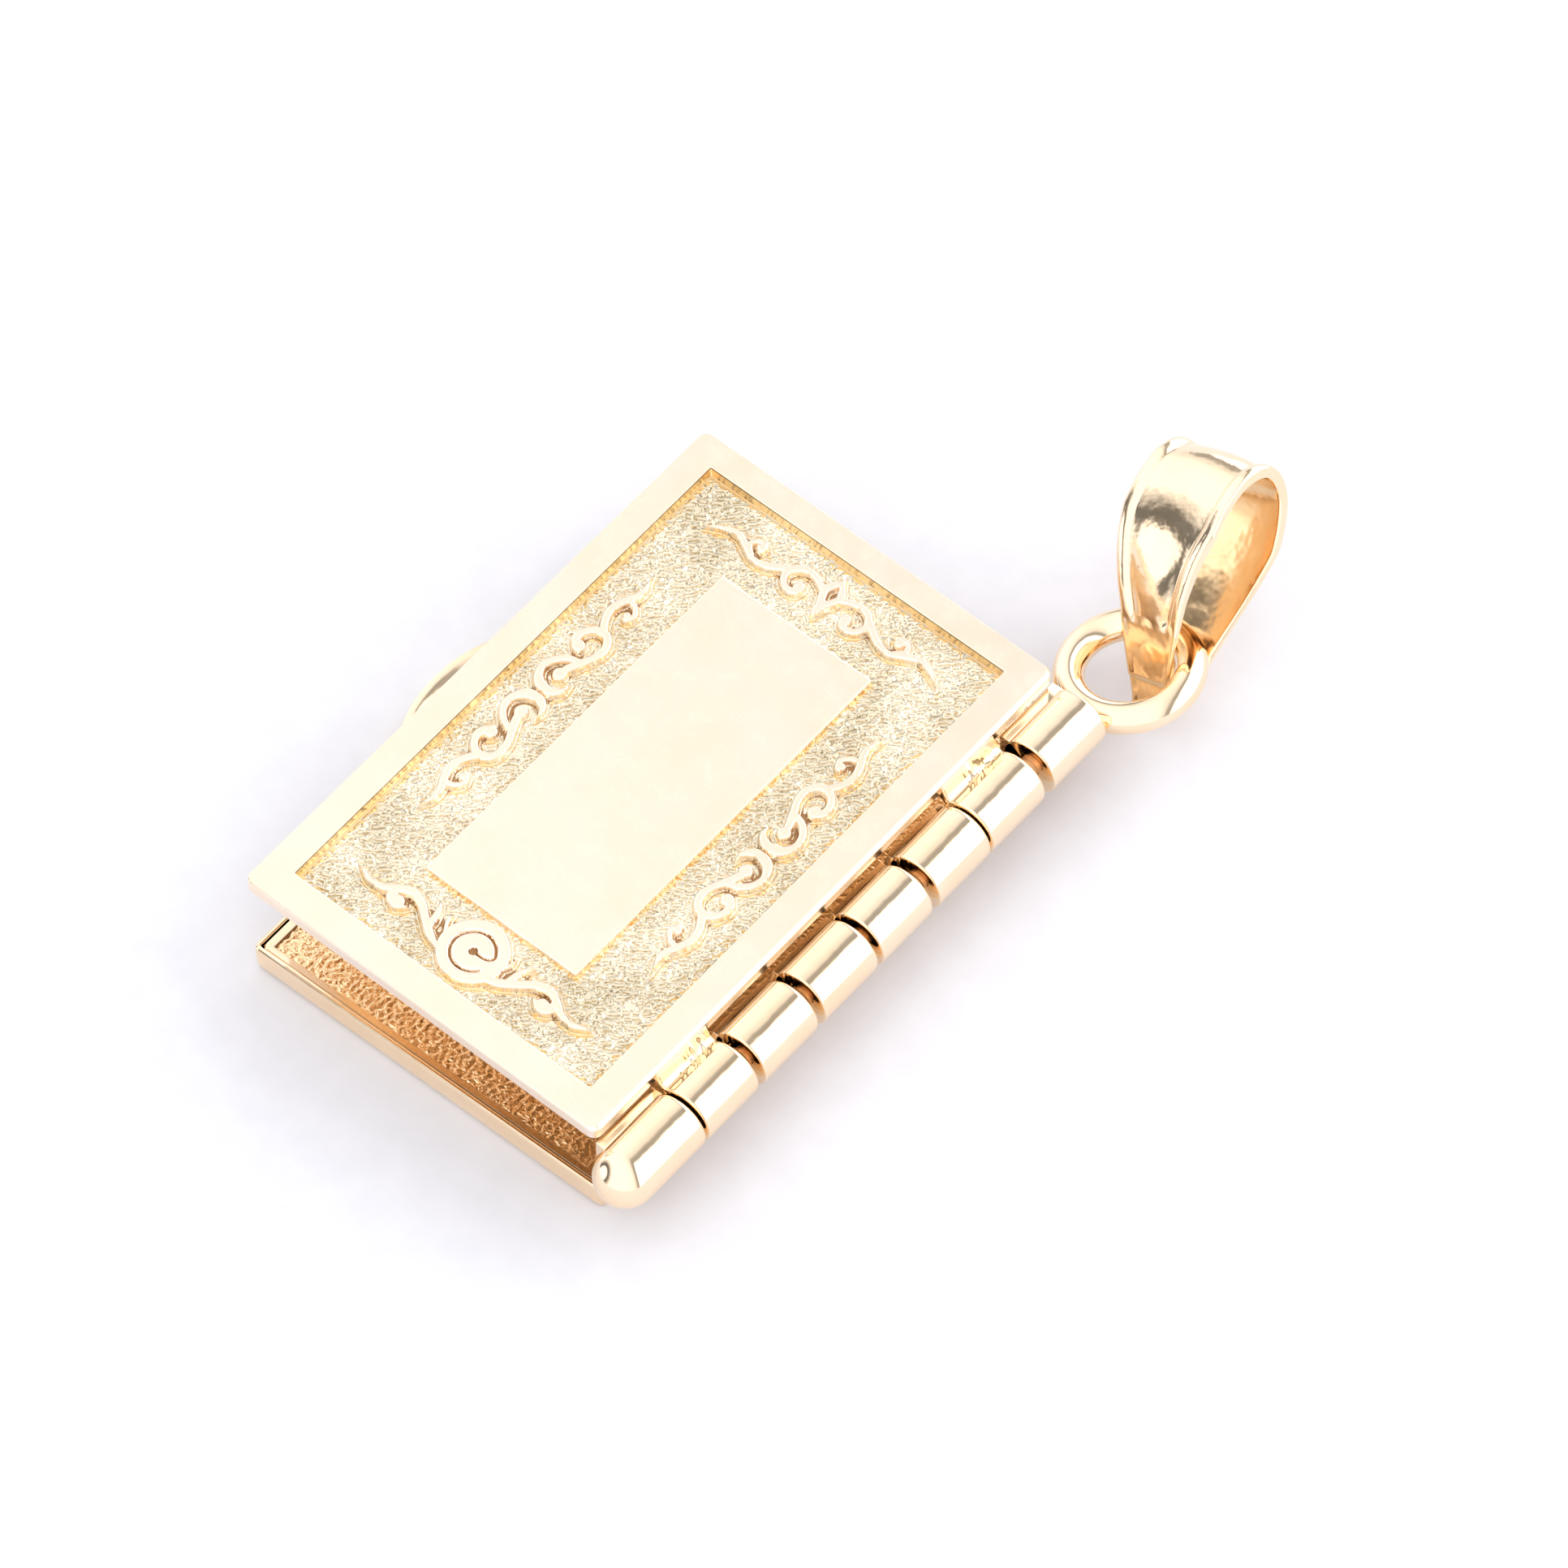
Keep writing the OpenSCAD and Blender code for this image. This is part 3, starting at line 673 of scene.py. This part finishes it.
def front_field():
    """Sunk field with its ornament, in four strips round the panel."""
    hx, hy = PANEL_W / 2, PANEL_H / 2
    floor = BOOK_T - FIELD_D
    fx = COVER_W / 2 - FRAME_W - WALL_RUN + SINK
    fy0 = FRAME_W + WALL_RUN - SINK - COVER_H / 2 + FIELD_SHIFT
    fy1 = COVER_H / 2 - FRAME_W - WALL_RUN + SINK + FIELD_SHIFT
    xs = np.linspace(-fx, fx, 2 * int(round(fx / FIELD_STEP)) + 1)
    ys = np.linspace(fy0, fy1, int(round((fy1 - fy0) / FIELD_STEP)) + 1)
    relief, tones = field_relief(xs, ys)
    under = 0.02
    in_x = np.searchsorted(xs, (under - hx, hx - under))
    in_y = np.searchsorted(ys, (under - hy, hy - under))
    strips = {
        "field_fore": np.s_[: in_x[0] + 1, :],
        "field_spine": np.s_[in_x[1]:, :],
        "field_tail": np.s_[in_x[0]: in_x[1] + 1, : in_y[0] + 1],
        "field_head": np.s_[in_x[0]: in_x[1] + 1, in_y[1]:],
    }
    for name, place in strips.items():
        points, faces = grid_slab(xs[place[0]], ys[place[1]], floor + relief[place],
                                  floor - 2 * SINK)
        field = add_piece(name, opened(points), faces, "cover", stippled,
                          sharp=60)
        # Painted shade in the tones: warmer ground beside raised edges, dark ground in narrow
        # gaps and cut lines
        tint(field, (warm_painted_shade, dark_painted_shade, satin), tones[place][:-1, :-1].ravel())


# Hinge
def top_y(k):
    """Head end of knuckle number k, counted from the head."""
    return HEAD_END if k == 0 else GAP_Y[k - 1] - GAP_W[k - 1] / 2


def low_y(k):
    """Tail end of knuckle number k, where the dome starts on the last one."""
    return DOME_Y if k == 7 else GAP_Y[k] + GAP_W[k] / 2


def head_ease(y):
    """Rounded edge of a knuckle at its head end, from (y, radius)."""
    return [(y - along, BARREL_R - deep) for along, deep in HEAD_EASE]


def tail_ease(y):
    """Rounded edge of a knuckle at its tail end, from (y, radius)."""
    return [(y + along, BARREL_R - deep) for along, deep in TAIL_EASE]


def knuckle(k, bore, count=96):
    """Hollow knuckle number k with rounded ends, in points and faces."""
    y1, y0 = top_y(k), low_y(k)
    loops = []
    for y, r in [(y1, bore), *head_ease(y1), *tail_ease(y0), (y0, bore)]:
        loop = []
        for i in range(count):
            a = -2 * math.pi * i / count
            loop.append((AXIS_X + r * math.cos(a), y, AXIS_Z + r * math.sin(a)))
        loops.append(loop)
    return skin(loops, closed=True)


def revolve(profile, centre, count=96):
    """Closed surface turned about a line along Y through centre, from (y, radius)."""
    points, faces, rows = [], [], []
    for y, r in profile:
        n = 1 if r == 0 else count
        rows.append((len(points), n))
        for i in range(n):
            a = -2 * math.pi * i / count
            points.append((centre[0] + r * math.cos(a), y, centre[1] + r * math.sin(a)))
    for (a, na), (b, nb) in zip(rows, rows[1:]):
        for j in range(count):
            k = (j + 1) % count
            if na == 1:
                faces.append((a, b + k, b + j))
            elif nb == 1:
                faces.append((a + j, a + k, b))
            else:
                faces.append((a + j, a + k, b + k, b + j))
    return np.array(points), faces


def prism(section, y0, y1, ease=0.04):
    """Prism along Y of a section in X and Z, its end edges eased."""
    s = np.array(section, float)
    normals = outward(s)
    loops = []
    for y, d in ((y1, ease), (y1 - ease * 0.3, ease * 0.3), (y1 - ease, 0),
                 (y0 + ease, 0), (y0 + ease * 0.3, ease * 0.3), (y0, ease)):
        p = s - normals * d
        loops.append(np.stack([p[:, 0], np.full(len(p), y), p[:, 1]], axis=1))
    return skin(loops, cap_start=True, cap_end=True)


def flange(k):
    """Fillet from the front plate's edge down to knuckle number k, worn along its valley."""
    x, top = COVER_W / 2, BOOK_T
    section = np.array([
        (x - 0.2, top - PLATE_T + 0.02), (AXIS_X - 0.8, AXIS_Z + 0.3),
        (AXIS_X - 0.5, AXIS_Z + 0.5), (AXIS_X - 0.62, AXIS_Z + 0.69),
        (AXIS_X - 0.70, AXIS_Z + 0.65), (AXIS_X - 0.78, AXIS_Z + 0.68),
        (AXIS_X - 0.86, AXIS_Z + 0.77), (AXIS_X - 0.94, AXIS_Z + 0.90),
        (AXIS_X - 1.02, AXIS_Z + 1.06), (AXIS_X - 1.08, AXIS_Z + 1.14),
        (AXIS_X - 1.15, AXIS_Z + 1.185), (x - 0.2, top - 0.06)])
    valley = slice(4, 8)
    normals = outward(section)
    ease, half_ease = 0.06, 0.02
    y1, y0 = top_y(k) - 0.02, low_y(k) + 0.02

    # Dents from the middle of a wider array, which its blurred borders don't reach
    worn = np.linspace(y1 - ease, y0 + ease, 60)
    dents = np.random.default_rng(SEED + 10 + k).standard_normal((len(worn), 20))
    dents = blur(dents, DENT_BLUR)[:, 8:12]
    dents *= DENT_H / dents.std()
    middle, spread = (y0 + y1) / 2 + 0.25, 0.5

    def across(y, inset, row=None):
        """Section at y, moved in by inset and dented along its valley."""
        p = section - normals * inset
        if row is not None:
            wear = math.exp(-((y - middle) / spread) ** 2)
            p[valley] -= normals[valley] * row[:, None] * wear
        return np.stack([p[:, 0], np.full(len(p), y), p[:, 1]], axis=1)

    loops = [across(y1, ease), across(y1 - half_ease, half_ease),
             *[across(y, 0.0, row) for y, row in zip(worn, dents)],
             across(y0 + half_ease, half_ease), across(y0, ease)]
    return skin(loops, cap_start=True, cap_end=True)


def front_knuckles():
    """The front cover's own knuckles, each with its fillet."""
    for k, name in ((1, "front_knuckle_head"), (6, "front_knuckle_tail")):
        points, faces = join([knuckle(k, PIN_R + PIN_PLAY), flange(k)])
        add_piece(name, opened(points, 0), faces, "cover", polished)


# Back cover
def back_tray():
    """Shallow tray with a rounded foot and a thin rim."""
    def loop(inset, z, spine_inset=None):
        """Loop round the tray, moved in by inset, or by another one along the spine."""
        spine = inset if spine_inset is None else spine_inset
        return corner_loop(TRAY_X0 + inset, TRAY_X1 - spine, inset - TRAY_Y, TRAY_Y - inset,
                           max(TRAY_CORNER - inset, 0.1), z, steps=10)

    def inside(inset, z):
        """Loop of the rim's inner side, which is thicker along the spine."""
        return loop(RIM_T + inset, z, SPINE_RIM_T + inset)

    loops = [loop(TRAY_FOOT * (1 - math.cos(a)), TRAY_FOOT * (1 - math.sin(a)),
                  0.06 * (1 - math.cos(a)))
             for a in np.radians((90, 75, 60, 45, 30, 15, 0))]
    loops += [loop(0, TRAY_H - 0.16), loop(0.008, TRAY_H - 0.09), loop(0.03, TRAY_H - 0.035),
              loop(0.07, TRAY_H), inside(-0.04, TRAY_H), inside(-0.01, TRAY_H - 0.012),
              inside(0, TRAY_H - 0.04), inside(0, FLOOR_T + 0.04), inside(0.04, FLOOR_T)]
    points, faces = skin(loops, cap_start=True, cap_end=True)
    add_piece("back_tray", points, faces, "back", polished, sharp=12)


def thumb_lip():
    """Half-round lip with a raised rim and a sunk, stippled top, in rows from its underside
    over the rim to the tray's edge."""
    half = LIP_LEN / 2
    big = (half * half + LIP_OUT * LIP_OUT) / (2 * LIP_OUT)
    cx = TRAY_X0 - LIP_OUT + big
    chord = TRAY_X0 + 0.09
    sink = TRAY_H - LIP_SINK
    count, across = 180, 44
    profile = [(0.30, 0.0), (0.14, 0.02), (0.05, 0.09), (0.0, 0.22), (0.0, TRAY_H - 0.09),
               (0.03, TRAY_H - 0.03), (0.09, TRAY_H), (LIP_RIM - 0.08, TRAY_H),
               (LIP_RIM - 0.03, TRAY_H - 0.01), (LIP_RIM + 0.15, TRAY_H - 0.07),
               (LIP_RIM + 0.36, sink)]
    t = np.linspace(-1, 1, count)

    def arc(rho, z):
        """Row at height z along an arc of radius rho that ends at the chord."""
        reach = math.acos((cx - chord) / rho)
        return np.stack([cx - rho * np.cos(t * reach), rho * np.sin(t * reach),
                         np.full(count, z)], axis=1)

    rows = [arc(big - inset, z) for inset, z in profile]
    edge = rows[-1]
    flat = np.stack([np.full(count, chord), edge[:, 1], edge[:, 2]], axis=1)
    rows += [edge + (flat - edge) * i / across for i in range(1, across + 1)]
    under = rows[0].copy()
    under[:, 0] = chord
    rows.insert(0, under)
    points = np.array(rows)

    # Stipple on a grid, looked up at each point of the sunk top
    cells_x, cells_y = 90, 270
    xs = np.linspace(cx - big, chord + 0.1, cells_x)
    ys = np.linspace(-half, half, cells_y)
    bumps = stipple(xs, ys, LIP_STIPPLE_PITCH, LIP_STIPPLE_H, SEED + 1)
    inner = points[len(profile) + 1: -1]
    i = np.clip(np.searchsorted(xs, inner[..., 0]), 0, len(xs) - 1)
    j = np.clip(np.searchsorted(ys, inner[..., 1]), 0, len(ys) - 1)
    inner[..., 2] += bumps[i, j]

    n = len(rows)
    index = np.arange(n * count).reshape(n, count)
    after = np.roll(index, -1, axis=0)
    quads = np.stack([index[:, :-1], index[:, 1:], after[:, 1:], after[:, :-1]], axis=-1)
    faces = quads.reshape(-1, 4).tolist()
    faces += [index[:, 0].tolist(), index[::-1, -1].tolist()]
    lip = add_piece("thumb_lip", points.reshape(-1, 3), faces, "back", polished)
    tones = np.zeros((n - 1, count - 1), dtype=int)
    tones[len(profile):] = 1
    tint(lip, (stippled,), tones.ravel())


def back_knuckles():
    """End knuckles, closed beyond the pin's seat, with the risers that carry them."""
    riser = [(TRAY_X1 - 0.25, 0.4), (TRAY_X1, 0.4), (TRAY_X1, AXIS_Z - 1.1),
             (AXIS_X - 0.3, AXIS_Z - 0.9), (AXIS_X - 0.3, AXIS_Z + 0.3),
             (AXIS_X - 0.66, AXIS_Z + 0.6), (TRAY_X1 - 0.22, AXIS_Z + 0.6),
             (TRAY_X1 - 0.25, AXIS_Z + 0.57)]
    for k, name in ((0, "back_riser_head"), (7, "back_riser_tail")):
        points, faces = prism(riser, low_y(k), top_y(k))
        add_piece(name, points, faces, "back", polished)

    centre = (AXIS_X, AXIS_Z)
    bore = PIN_R + END_PLAY
    y0 = low_y(0)
    profile = [(HEAD_END, 0), *head_ease(HEAD_END), *tail_ease(y0), (y0, bore),
               (y0 + PIN_SEAT, bore), (y0 + PIN_SEAT, 0)]
    points, faces = revolve(profile, centre)
    add_piece("back_knuckle_head", points, faces, "back", polished)

    y1 = top_y(7)
    dome = [(DOME_Y - BARREL_R * math.sin(a), BARREL_R * math.cos(a))
            for a in np.radians(np.arange(0, 90, 5))]
    profile = [(y1 - PIN_SEAT, 0), (y1 - PIN_SEAT, bore), (y1, bore), *head_ease(y1),
               (DOME_Y + 0.04, BARREL_R), *dome, (DOME_Y - BARREL_R, 0)]
    points, faces = revolve(profile, centre)
    add_piece("back_knuckle_tail", points, faces, "back", polished)


def ring():
    """Tilted wire ring and the solder that holds it to the barrel."""
    around, across = 128, 40
    c, s = math.cos(RING_TILT), math.sin(RING_TILT)
    loops = []
    for i in range(around):
        a = 2 * math.pi * i / around
        loop = []
        for j in range(across):
            b = 2 * math.pi * j / across
            rho = RING_R + WIRE_R * math.cos(b)
            x, y, z = rho * math.cos(a), rho * math.sin(a), WIRE_R * math.sin(b)
            loop.append((RING_C[0] + x * c - z * s, RING_C[1] + y, RING_C[2] + x * s + z * c))
        loops.append(loop)
    points, faces = skin(loops, closed=True)
    faces = [face[::-1] for face in faces]
    add_piece("ring", points, faces, "back", polished)

    # Solder between the ring and the end of the barrel, wider than it is high
    wide, high = 1.15, 0.72
    rows = [(HEAD_END - 0.03, 0), (HEAD_END - 0.03, 0.62), (HEAD_END + 0.02, 0.56),
            (HEAD_END + 0.08, 0.42), (HEAD_END + 0.18, 0.34), (HEAD_END + 0.3, 0.3),
            (HEAD_END + 0.3, 0)]
    points, faces = revolve(rows[::-1], (0, 0), count=64)
    points[:, 0] = RING_C[0] + points[:, 0] * wide
    points[:, 2] = RING_C[2] + 0.02 + points[:, 2] * high
    add_piece("ring_solder", points, faces, "back", polished)


# Leaves
def leaf_outline(fore, clear, inset, z):
    """Edge of a leaf, notched at the spine where the knuckles numbered in clear pass."""
    x0, x1, y = fore + inset, LEAF_X1 - inset, LEAF_Y - inset
    spine = [(x1, -y), (x1, y)]
    if clear:
        notch = RISER_X - NOTCH_PAST - inset
        lo = min(low_y(k) for k in clear) - NOTCH_PLAY - inset
        hi = max(top_y(k) for k in clear) + NOTCH_PLAY + inset
        spine[1:1] = [(x1, lo), (notch, lo), (notch, hi), (x1, hi)]
    corner = [(x0 + LEAF_CORNER * (1 - math.sin(a)), y - LEAF_CORNER * (1 - math.cos(a)))
              for a in np.radians((0, 30, 60, 90))]
    mirrored = [(px, -py) for px, py in corner[::-1]]
    return [(px, py, z) for px, py in [*spine, *corner, *mirrored]]


def border_faces(points, outer, inner):
    """Flat faces between an outer loop and a rectangle of four points inside it."""
    faces = []
    corner_of = []
    for i in outer:
        gaps = [np.hypot(*(points[i][:2] - points[j][:2])) for j in inner]
        corner_of.append(int(np.argmin(gaps)))
    n = len(outer)
    for i in range(n):
        k = (i + 1) % n
        a, b = corner_of[i], corner_of[k]
        if a == b:
            faces.append((outer[i], outer[k], inner[a]))
        else:
            faces.append((outer[i], outer[k], inner[b], inner[a]))
    return faces


def leaf_plate(fore, clear, z, pocket):
    """Plate with flat borders round a pocket given by x0, x1, y0 and y1."""
    top = z + LEAF_T
    x0, x1, y0, y1 = pocket
    rim = [leaf_outline(fore, clear, inset, height)
           for inset, height in ((LEAF_EASE, z), (0.0, z + LEAF_EASE), (0.0, top - LEAF_EASE),
                                 (LEAF_EASE, top))]
    points, faces = skin(rim, cap_start=True)
    start = len(points)
    outer = range(start - len(rim[0]), start)
    edge = [(-LEAF_EDGE, top), (-0.03, top - 0.006), (-0.008, top - 0.025), (0.0, top - 0.05),
            (0.0, top - LEAF_SINK - 0.02)]
    walls = [(x, y, height) for d, height in edge
             for x, y in ((x0 + d, y0 + d), (x1 - d, y0 + d), (x1 - d, y1 - d), (x0 + d, y1 - d))]
    points = np.vstack([points, walls])
    for row in range(start, start + 4 * (len(edge) - 1), 4):
        for i in range(4):
            k = (i + 1) % 4
            faces.append((row + i, row + k, row + 4 + k, row + 4 + i))
    faces.append(tuple(range(len(points) - 4, len(points))))
    faces += border_faces(points, list(outer), list(range(start, start + 4)))
    return points, faces


def leaf(number, knuckles, clear):
    """One leaf with its own knuckles, cut back for those numbered in clear."""
    z, fore, step = LEAF_Z[number - 1], LEAF_FORE[number - 1], LEAF_STEP[number - 1]
    body = f"leaf_{number}"
    x0, x1 = fore + LEAF_BORDER + LEAF_EDGE, LEAF_X1 - 2 * LEAF_BORDER
    y0, y1 = LEAF_BORDER - LEAF_Y, LEAF_Y - LEAF_BORDER
    points, faces = leaf_plate(fore, clear, z, (x0, x1, y0, y1))
    add_piece(f"{body}_plate", points, faces, body, polished, sharp=25)

    # Stippled floor of the pocket, calmer towards the spine; its deeper gold is painted shade
    under = 0.01
    xs = np.linspace(x0 - under, x1 + under, int((x1 - x0) / step))
    ys = np.linspace(y0 - under, y1 + under, int((y1 - y0) / step))
    bumps = stipple(xs, ys, LEAF_STIPPLE_PITCH, LEAF_STIPPLE_H, SEED + 1 + number)
    bumps *= smoothstep((x1 - LEAF_CALM_W - xs) / LEAF_CALM_RUN)[:, None]
    floor = z + LEAF_T - LEAF_SINK
    points, faces = grid_slab(xs, ys, floor + bumps, floor - 0.04)
    add_piece(f"{body}_field", points, faces, body, grained_painted_shade, sharp=60)

    riser = [(RISER_X, z), (LEAF_X1, z), (LEAF_X1, 1.15), (AXIS_X - 0.6, 1.9),
             (AXIS_X - 0.6, AXIS_Z + 0.44), (AXIS_X - 0.96, AXIS_Z + 0.45),
             (AXIS_X - 1.01, AXIS_Z + 0.435), (AXIS_X - 1.035, AXIS_Z + 0.39), (RISER_X, 1.5)]
    for k in knuckles:
        parts = [knuckle(k, PIN_R + PIN_PLAY), prism(riser, low_y(k), top_y(k))]
        points, faces = join(parts)
        add_piece(f"{body}_knuckle_{k}", points, faces, body, polished)


# Bail
def bail_outside(half, ridged):
    """Places across the strip and heights of its outer side, from one rim to the other."""
    rows = [(half - e, bead * ridged + flat * (1 - ridged)) for e, bead, flat in BEAD]
    foot = rows[-1][0]
    for t in np.linspace(0.14, 1, 7):
        crown = BAND_FOOT + BAND_CROWN * (1 - (1 - t) ** 2)
        rows.append((foot * (1 - t), crown * ridged + BEAD[-1][2] * (1 - ridged)))
    return rows + [(-across, h) for across, h in rows[-2::-1]]


def bail():
    """Tapered loop through the ring, with painted shade, a deeper gold, on its tip and inside."""
    steps, count = 16, 240
    outer = smooth_closed(LOOP_OUTER, steps, count)
    inner = smooth_closed(LOOP_INNER, steps, count)
    tip0, tip1 = TIP_END
    loops = []
    painted_shade_faces = []
    for p, n, q, m in zip(outer, outward(outer), inner, -outward(inner)):
        x, front = p[0], p[1] < 0
        half = (BAIL_TIP_W + (BAIL_W - BAIL_TIP_W) * min(max(x / BAIL_FULL, 0), 1)) / 2
        ridged = smoothstep((x - tip0) / (tip1 - tip0)) if front else 1.0
        step = TIP_STEP * smoothstep((TIP_STEP_X - x) / TIP_STEP_RUN) if front else 0.0
        outside = bail_outside(half, ridged)
        loop = [(x + n[0] * (h - step), p[1] + n[1] * (h - step), across)
                for across, h in outside]
        loop += [(q[0] + m[0] * h, q[1] + m[1] * h, side * half * (1 - e))
                 for side, rows in ((-1, BAND_INSIDE), (1, BAND_INSIDE[-2::-1]))
                 for e, h in rows]
        loops.append(loop)
        tip = front and x < tip0
        painted_shade_faces += [tip or j > len(outside) for j in range(len(loop))]
    points, faces = skin(loops, closed=True)
    turn = [math.radians(a) for a in BAIL_TURN]
    matrix = (Matrix.Rotation(turn[2], 3, "Z") @ Matrix.Rotation(turn[1], 3, "Y")
              @ Matrix.Rotation(turn[0], 3, "X"))
    points = points @ np.array(matrix).T + np.array(BAIL_C)
    strip = add_piece("bail_strip", points, faces, "back", cast, sharp=50)
    # Painted shade: the tip and the inner side take the deeper gold
    tint(strip, (shaded,), painted_shade_faces)


front_plate()
centre_panel()
front_field()
front_knuckles()
back_tray()
thumb_lip()
back_knuckles()
ring()
leaf(1, (2, 5), (3, 4))
leaf(2, (3, 4), ())
bail()

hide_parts("front_cover")
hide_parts("back_cover")
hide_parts("page_1")
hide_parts("page_2")
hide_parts("bail")
# The pin's brown is painted shade for the gaps between the knuckles
pin = frame["nodes"]["hinge_pin"]
pin.data.materials.clear()
pin.data.materials.append(painted_shade_brown)


# Floor, in metres
FLOOR_HALF = 0.6
FLOOR_TONES = (0.735, 0.735, 0.785), (0.765, 0.765, 0.815)
FLOOR_GRAIN = 900


def white_floor():
    """Pale floor with a faint grain."""
    material = bpy.data.materials.new("floor_white")
    tree, shader = node_tree(material)
    coords = tree.nodes.new("ShaderNodeTexCoord").outputs["Object"]
    grain = noise(tree, coords, FLOOR_GRAIN, detail=3)
    colour = ramp(tree, grain, [(0.3, FLOOR_TONES[0]), (0.7, FLOOR_TONES[1])])
    tree.links.new(colour, shader.inputs["Base Color"])
    shader.inputs["Roughness"].default_value = 0.9
    shader.inputs["Specular IOR Level"].default_value = 0.1

    mesh = bpy.data.meshes.new("floor")
    corners = [(x * FLOOR_HALF, y * FLOOR_HALF, 0)
               for x, y in ((-1, -1), (1, -1), (1, 1), (-1, 1))]
    mesh.from_pydata(corners, [], [(0, 1, 2, 3)])
    mesh.materials.append(material)
    floor = bpy.data.objects.new("floor", mesh)
    bpy.context.scene.collection.objects.link(floor)


white_floor()


# Light: brightness by the cosine of the angle from an axis
STRENGTH = 2.5
WALL_AXIS = (0.407, 0.904, -0.14)
WALL = [(-1.0, 1.5), (-0.3, 1.5), (0.0, 1.4), (0.07, 1.25), (0.13, 1.12), (0.19, 0.95),
        (0.23, 0.48), (0.33, 0.42), (0.36, 2.1), (1.0, 2.4)]
PATCH_AXIS = (-0.77, -0.61, 0.17)
PATCH = [(0.80, 1.0), (0.84, 0.70), (0.88, 0.42), (0.905, 0.14), (0.945, 0.12), (0.962, 1.1)]


def unit(v):
    """Vector of length 1 along v."""
    v = np.array(v, float)
    return tuple(float(x) for x in v / np.linalg.norm(v))


def studio_world():
    """Bright surroundings with a dark band under a brighter wall, and a dark arc on one side."""
    world = bpy.data.worlds.new("studio")
    bpy.context.scene.world = world
    world.use_nodes = True
    tree = world.node_tree
    background = tree.nodes["Background"]
    direction = tree.nodes.new("ShaderNodeTexCoord").outputs["Generated"]

    def round_axis(axis, stops):
        """Brightness from stops of (cosine, brightness) round an axis."""
        node = tree.nodes.new("ShaderNodeVectorMath")
        node.operation = "DOT_PRODUCT"
        node.inputs[1].default_value = unit(axis)
        tree.links.new(direction, node.inputs[0])
        place = math_node(tree, "MULTIPLY_ADD", node.outputs["Value"], 0.5, 0.5)
        return ramp(tree, place, [((cosine + 1) / 2, value) for cosine, value in stops])

    wall = round_axis(WALL_AXIS, [(cosine, value / STRENGTH) for cosine, value in WALL])
    patch = round_axis(PATCH_AXIS, PATCH)
    product = math_node(tree, "MULTIPLY", wall, patch)
    tree.links.new(product, background.inputs["Color"])
    background.inputs["Strength"].default_value = STRENGTH


studio_world()


# Camera: its axes and its place
RIGHT = (0.76484, 0.64367, -0.02671)
UP = (-0.52068, 0.64204, 0.56274)
BACK = (0.37937, -0.41649, 0.82620)
PLACE = (121.543, -127.902, 261.592)


def add_camera():
    """Camera with a long lens, a good way off."""
    data = bpy.data.cameras.new("camera")
    data.lens = 252
    data.sensor_width = 36
    data.clip_start = 0.01
    data.clip_end = 5
    camera = bpy.data.objects.new("camera", data)
    bpy.context.scene.collection.objects.link(camera)
    rows = [(RIGHT[i], UP[i], BACK[i], PLACE[i] * MM) for i in range(3)]
    camera.matrix_world = Matrix([*rows, (0, 0, 0, 1)])
    bpy.context.scene.camera = camera


add_camera()
bpy.context.scene.view_settings.view_transform = "Standard"
bpy.context.scene.view_settings.look = "None"
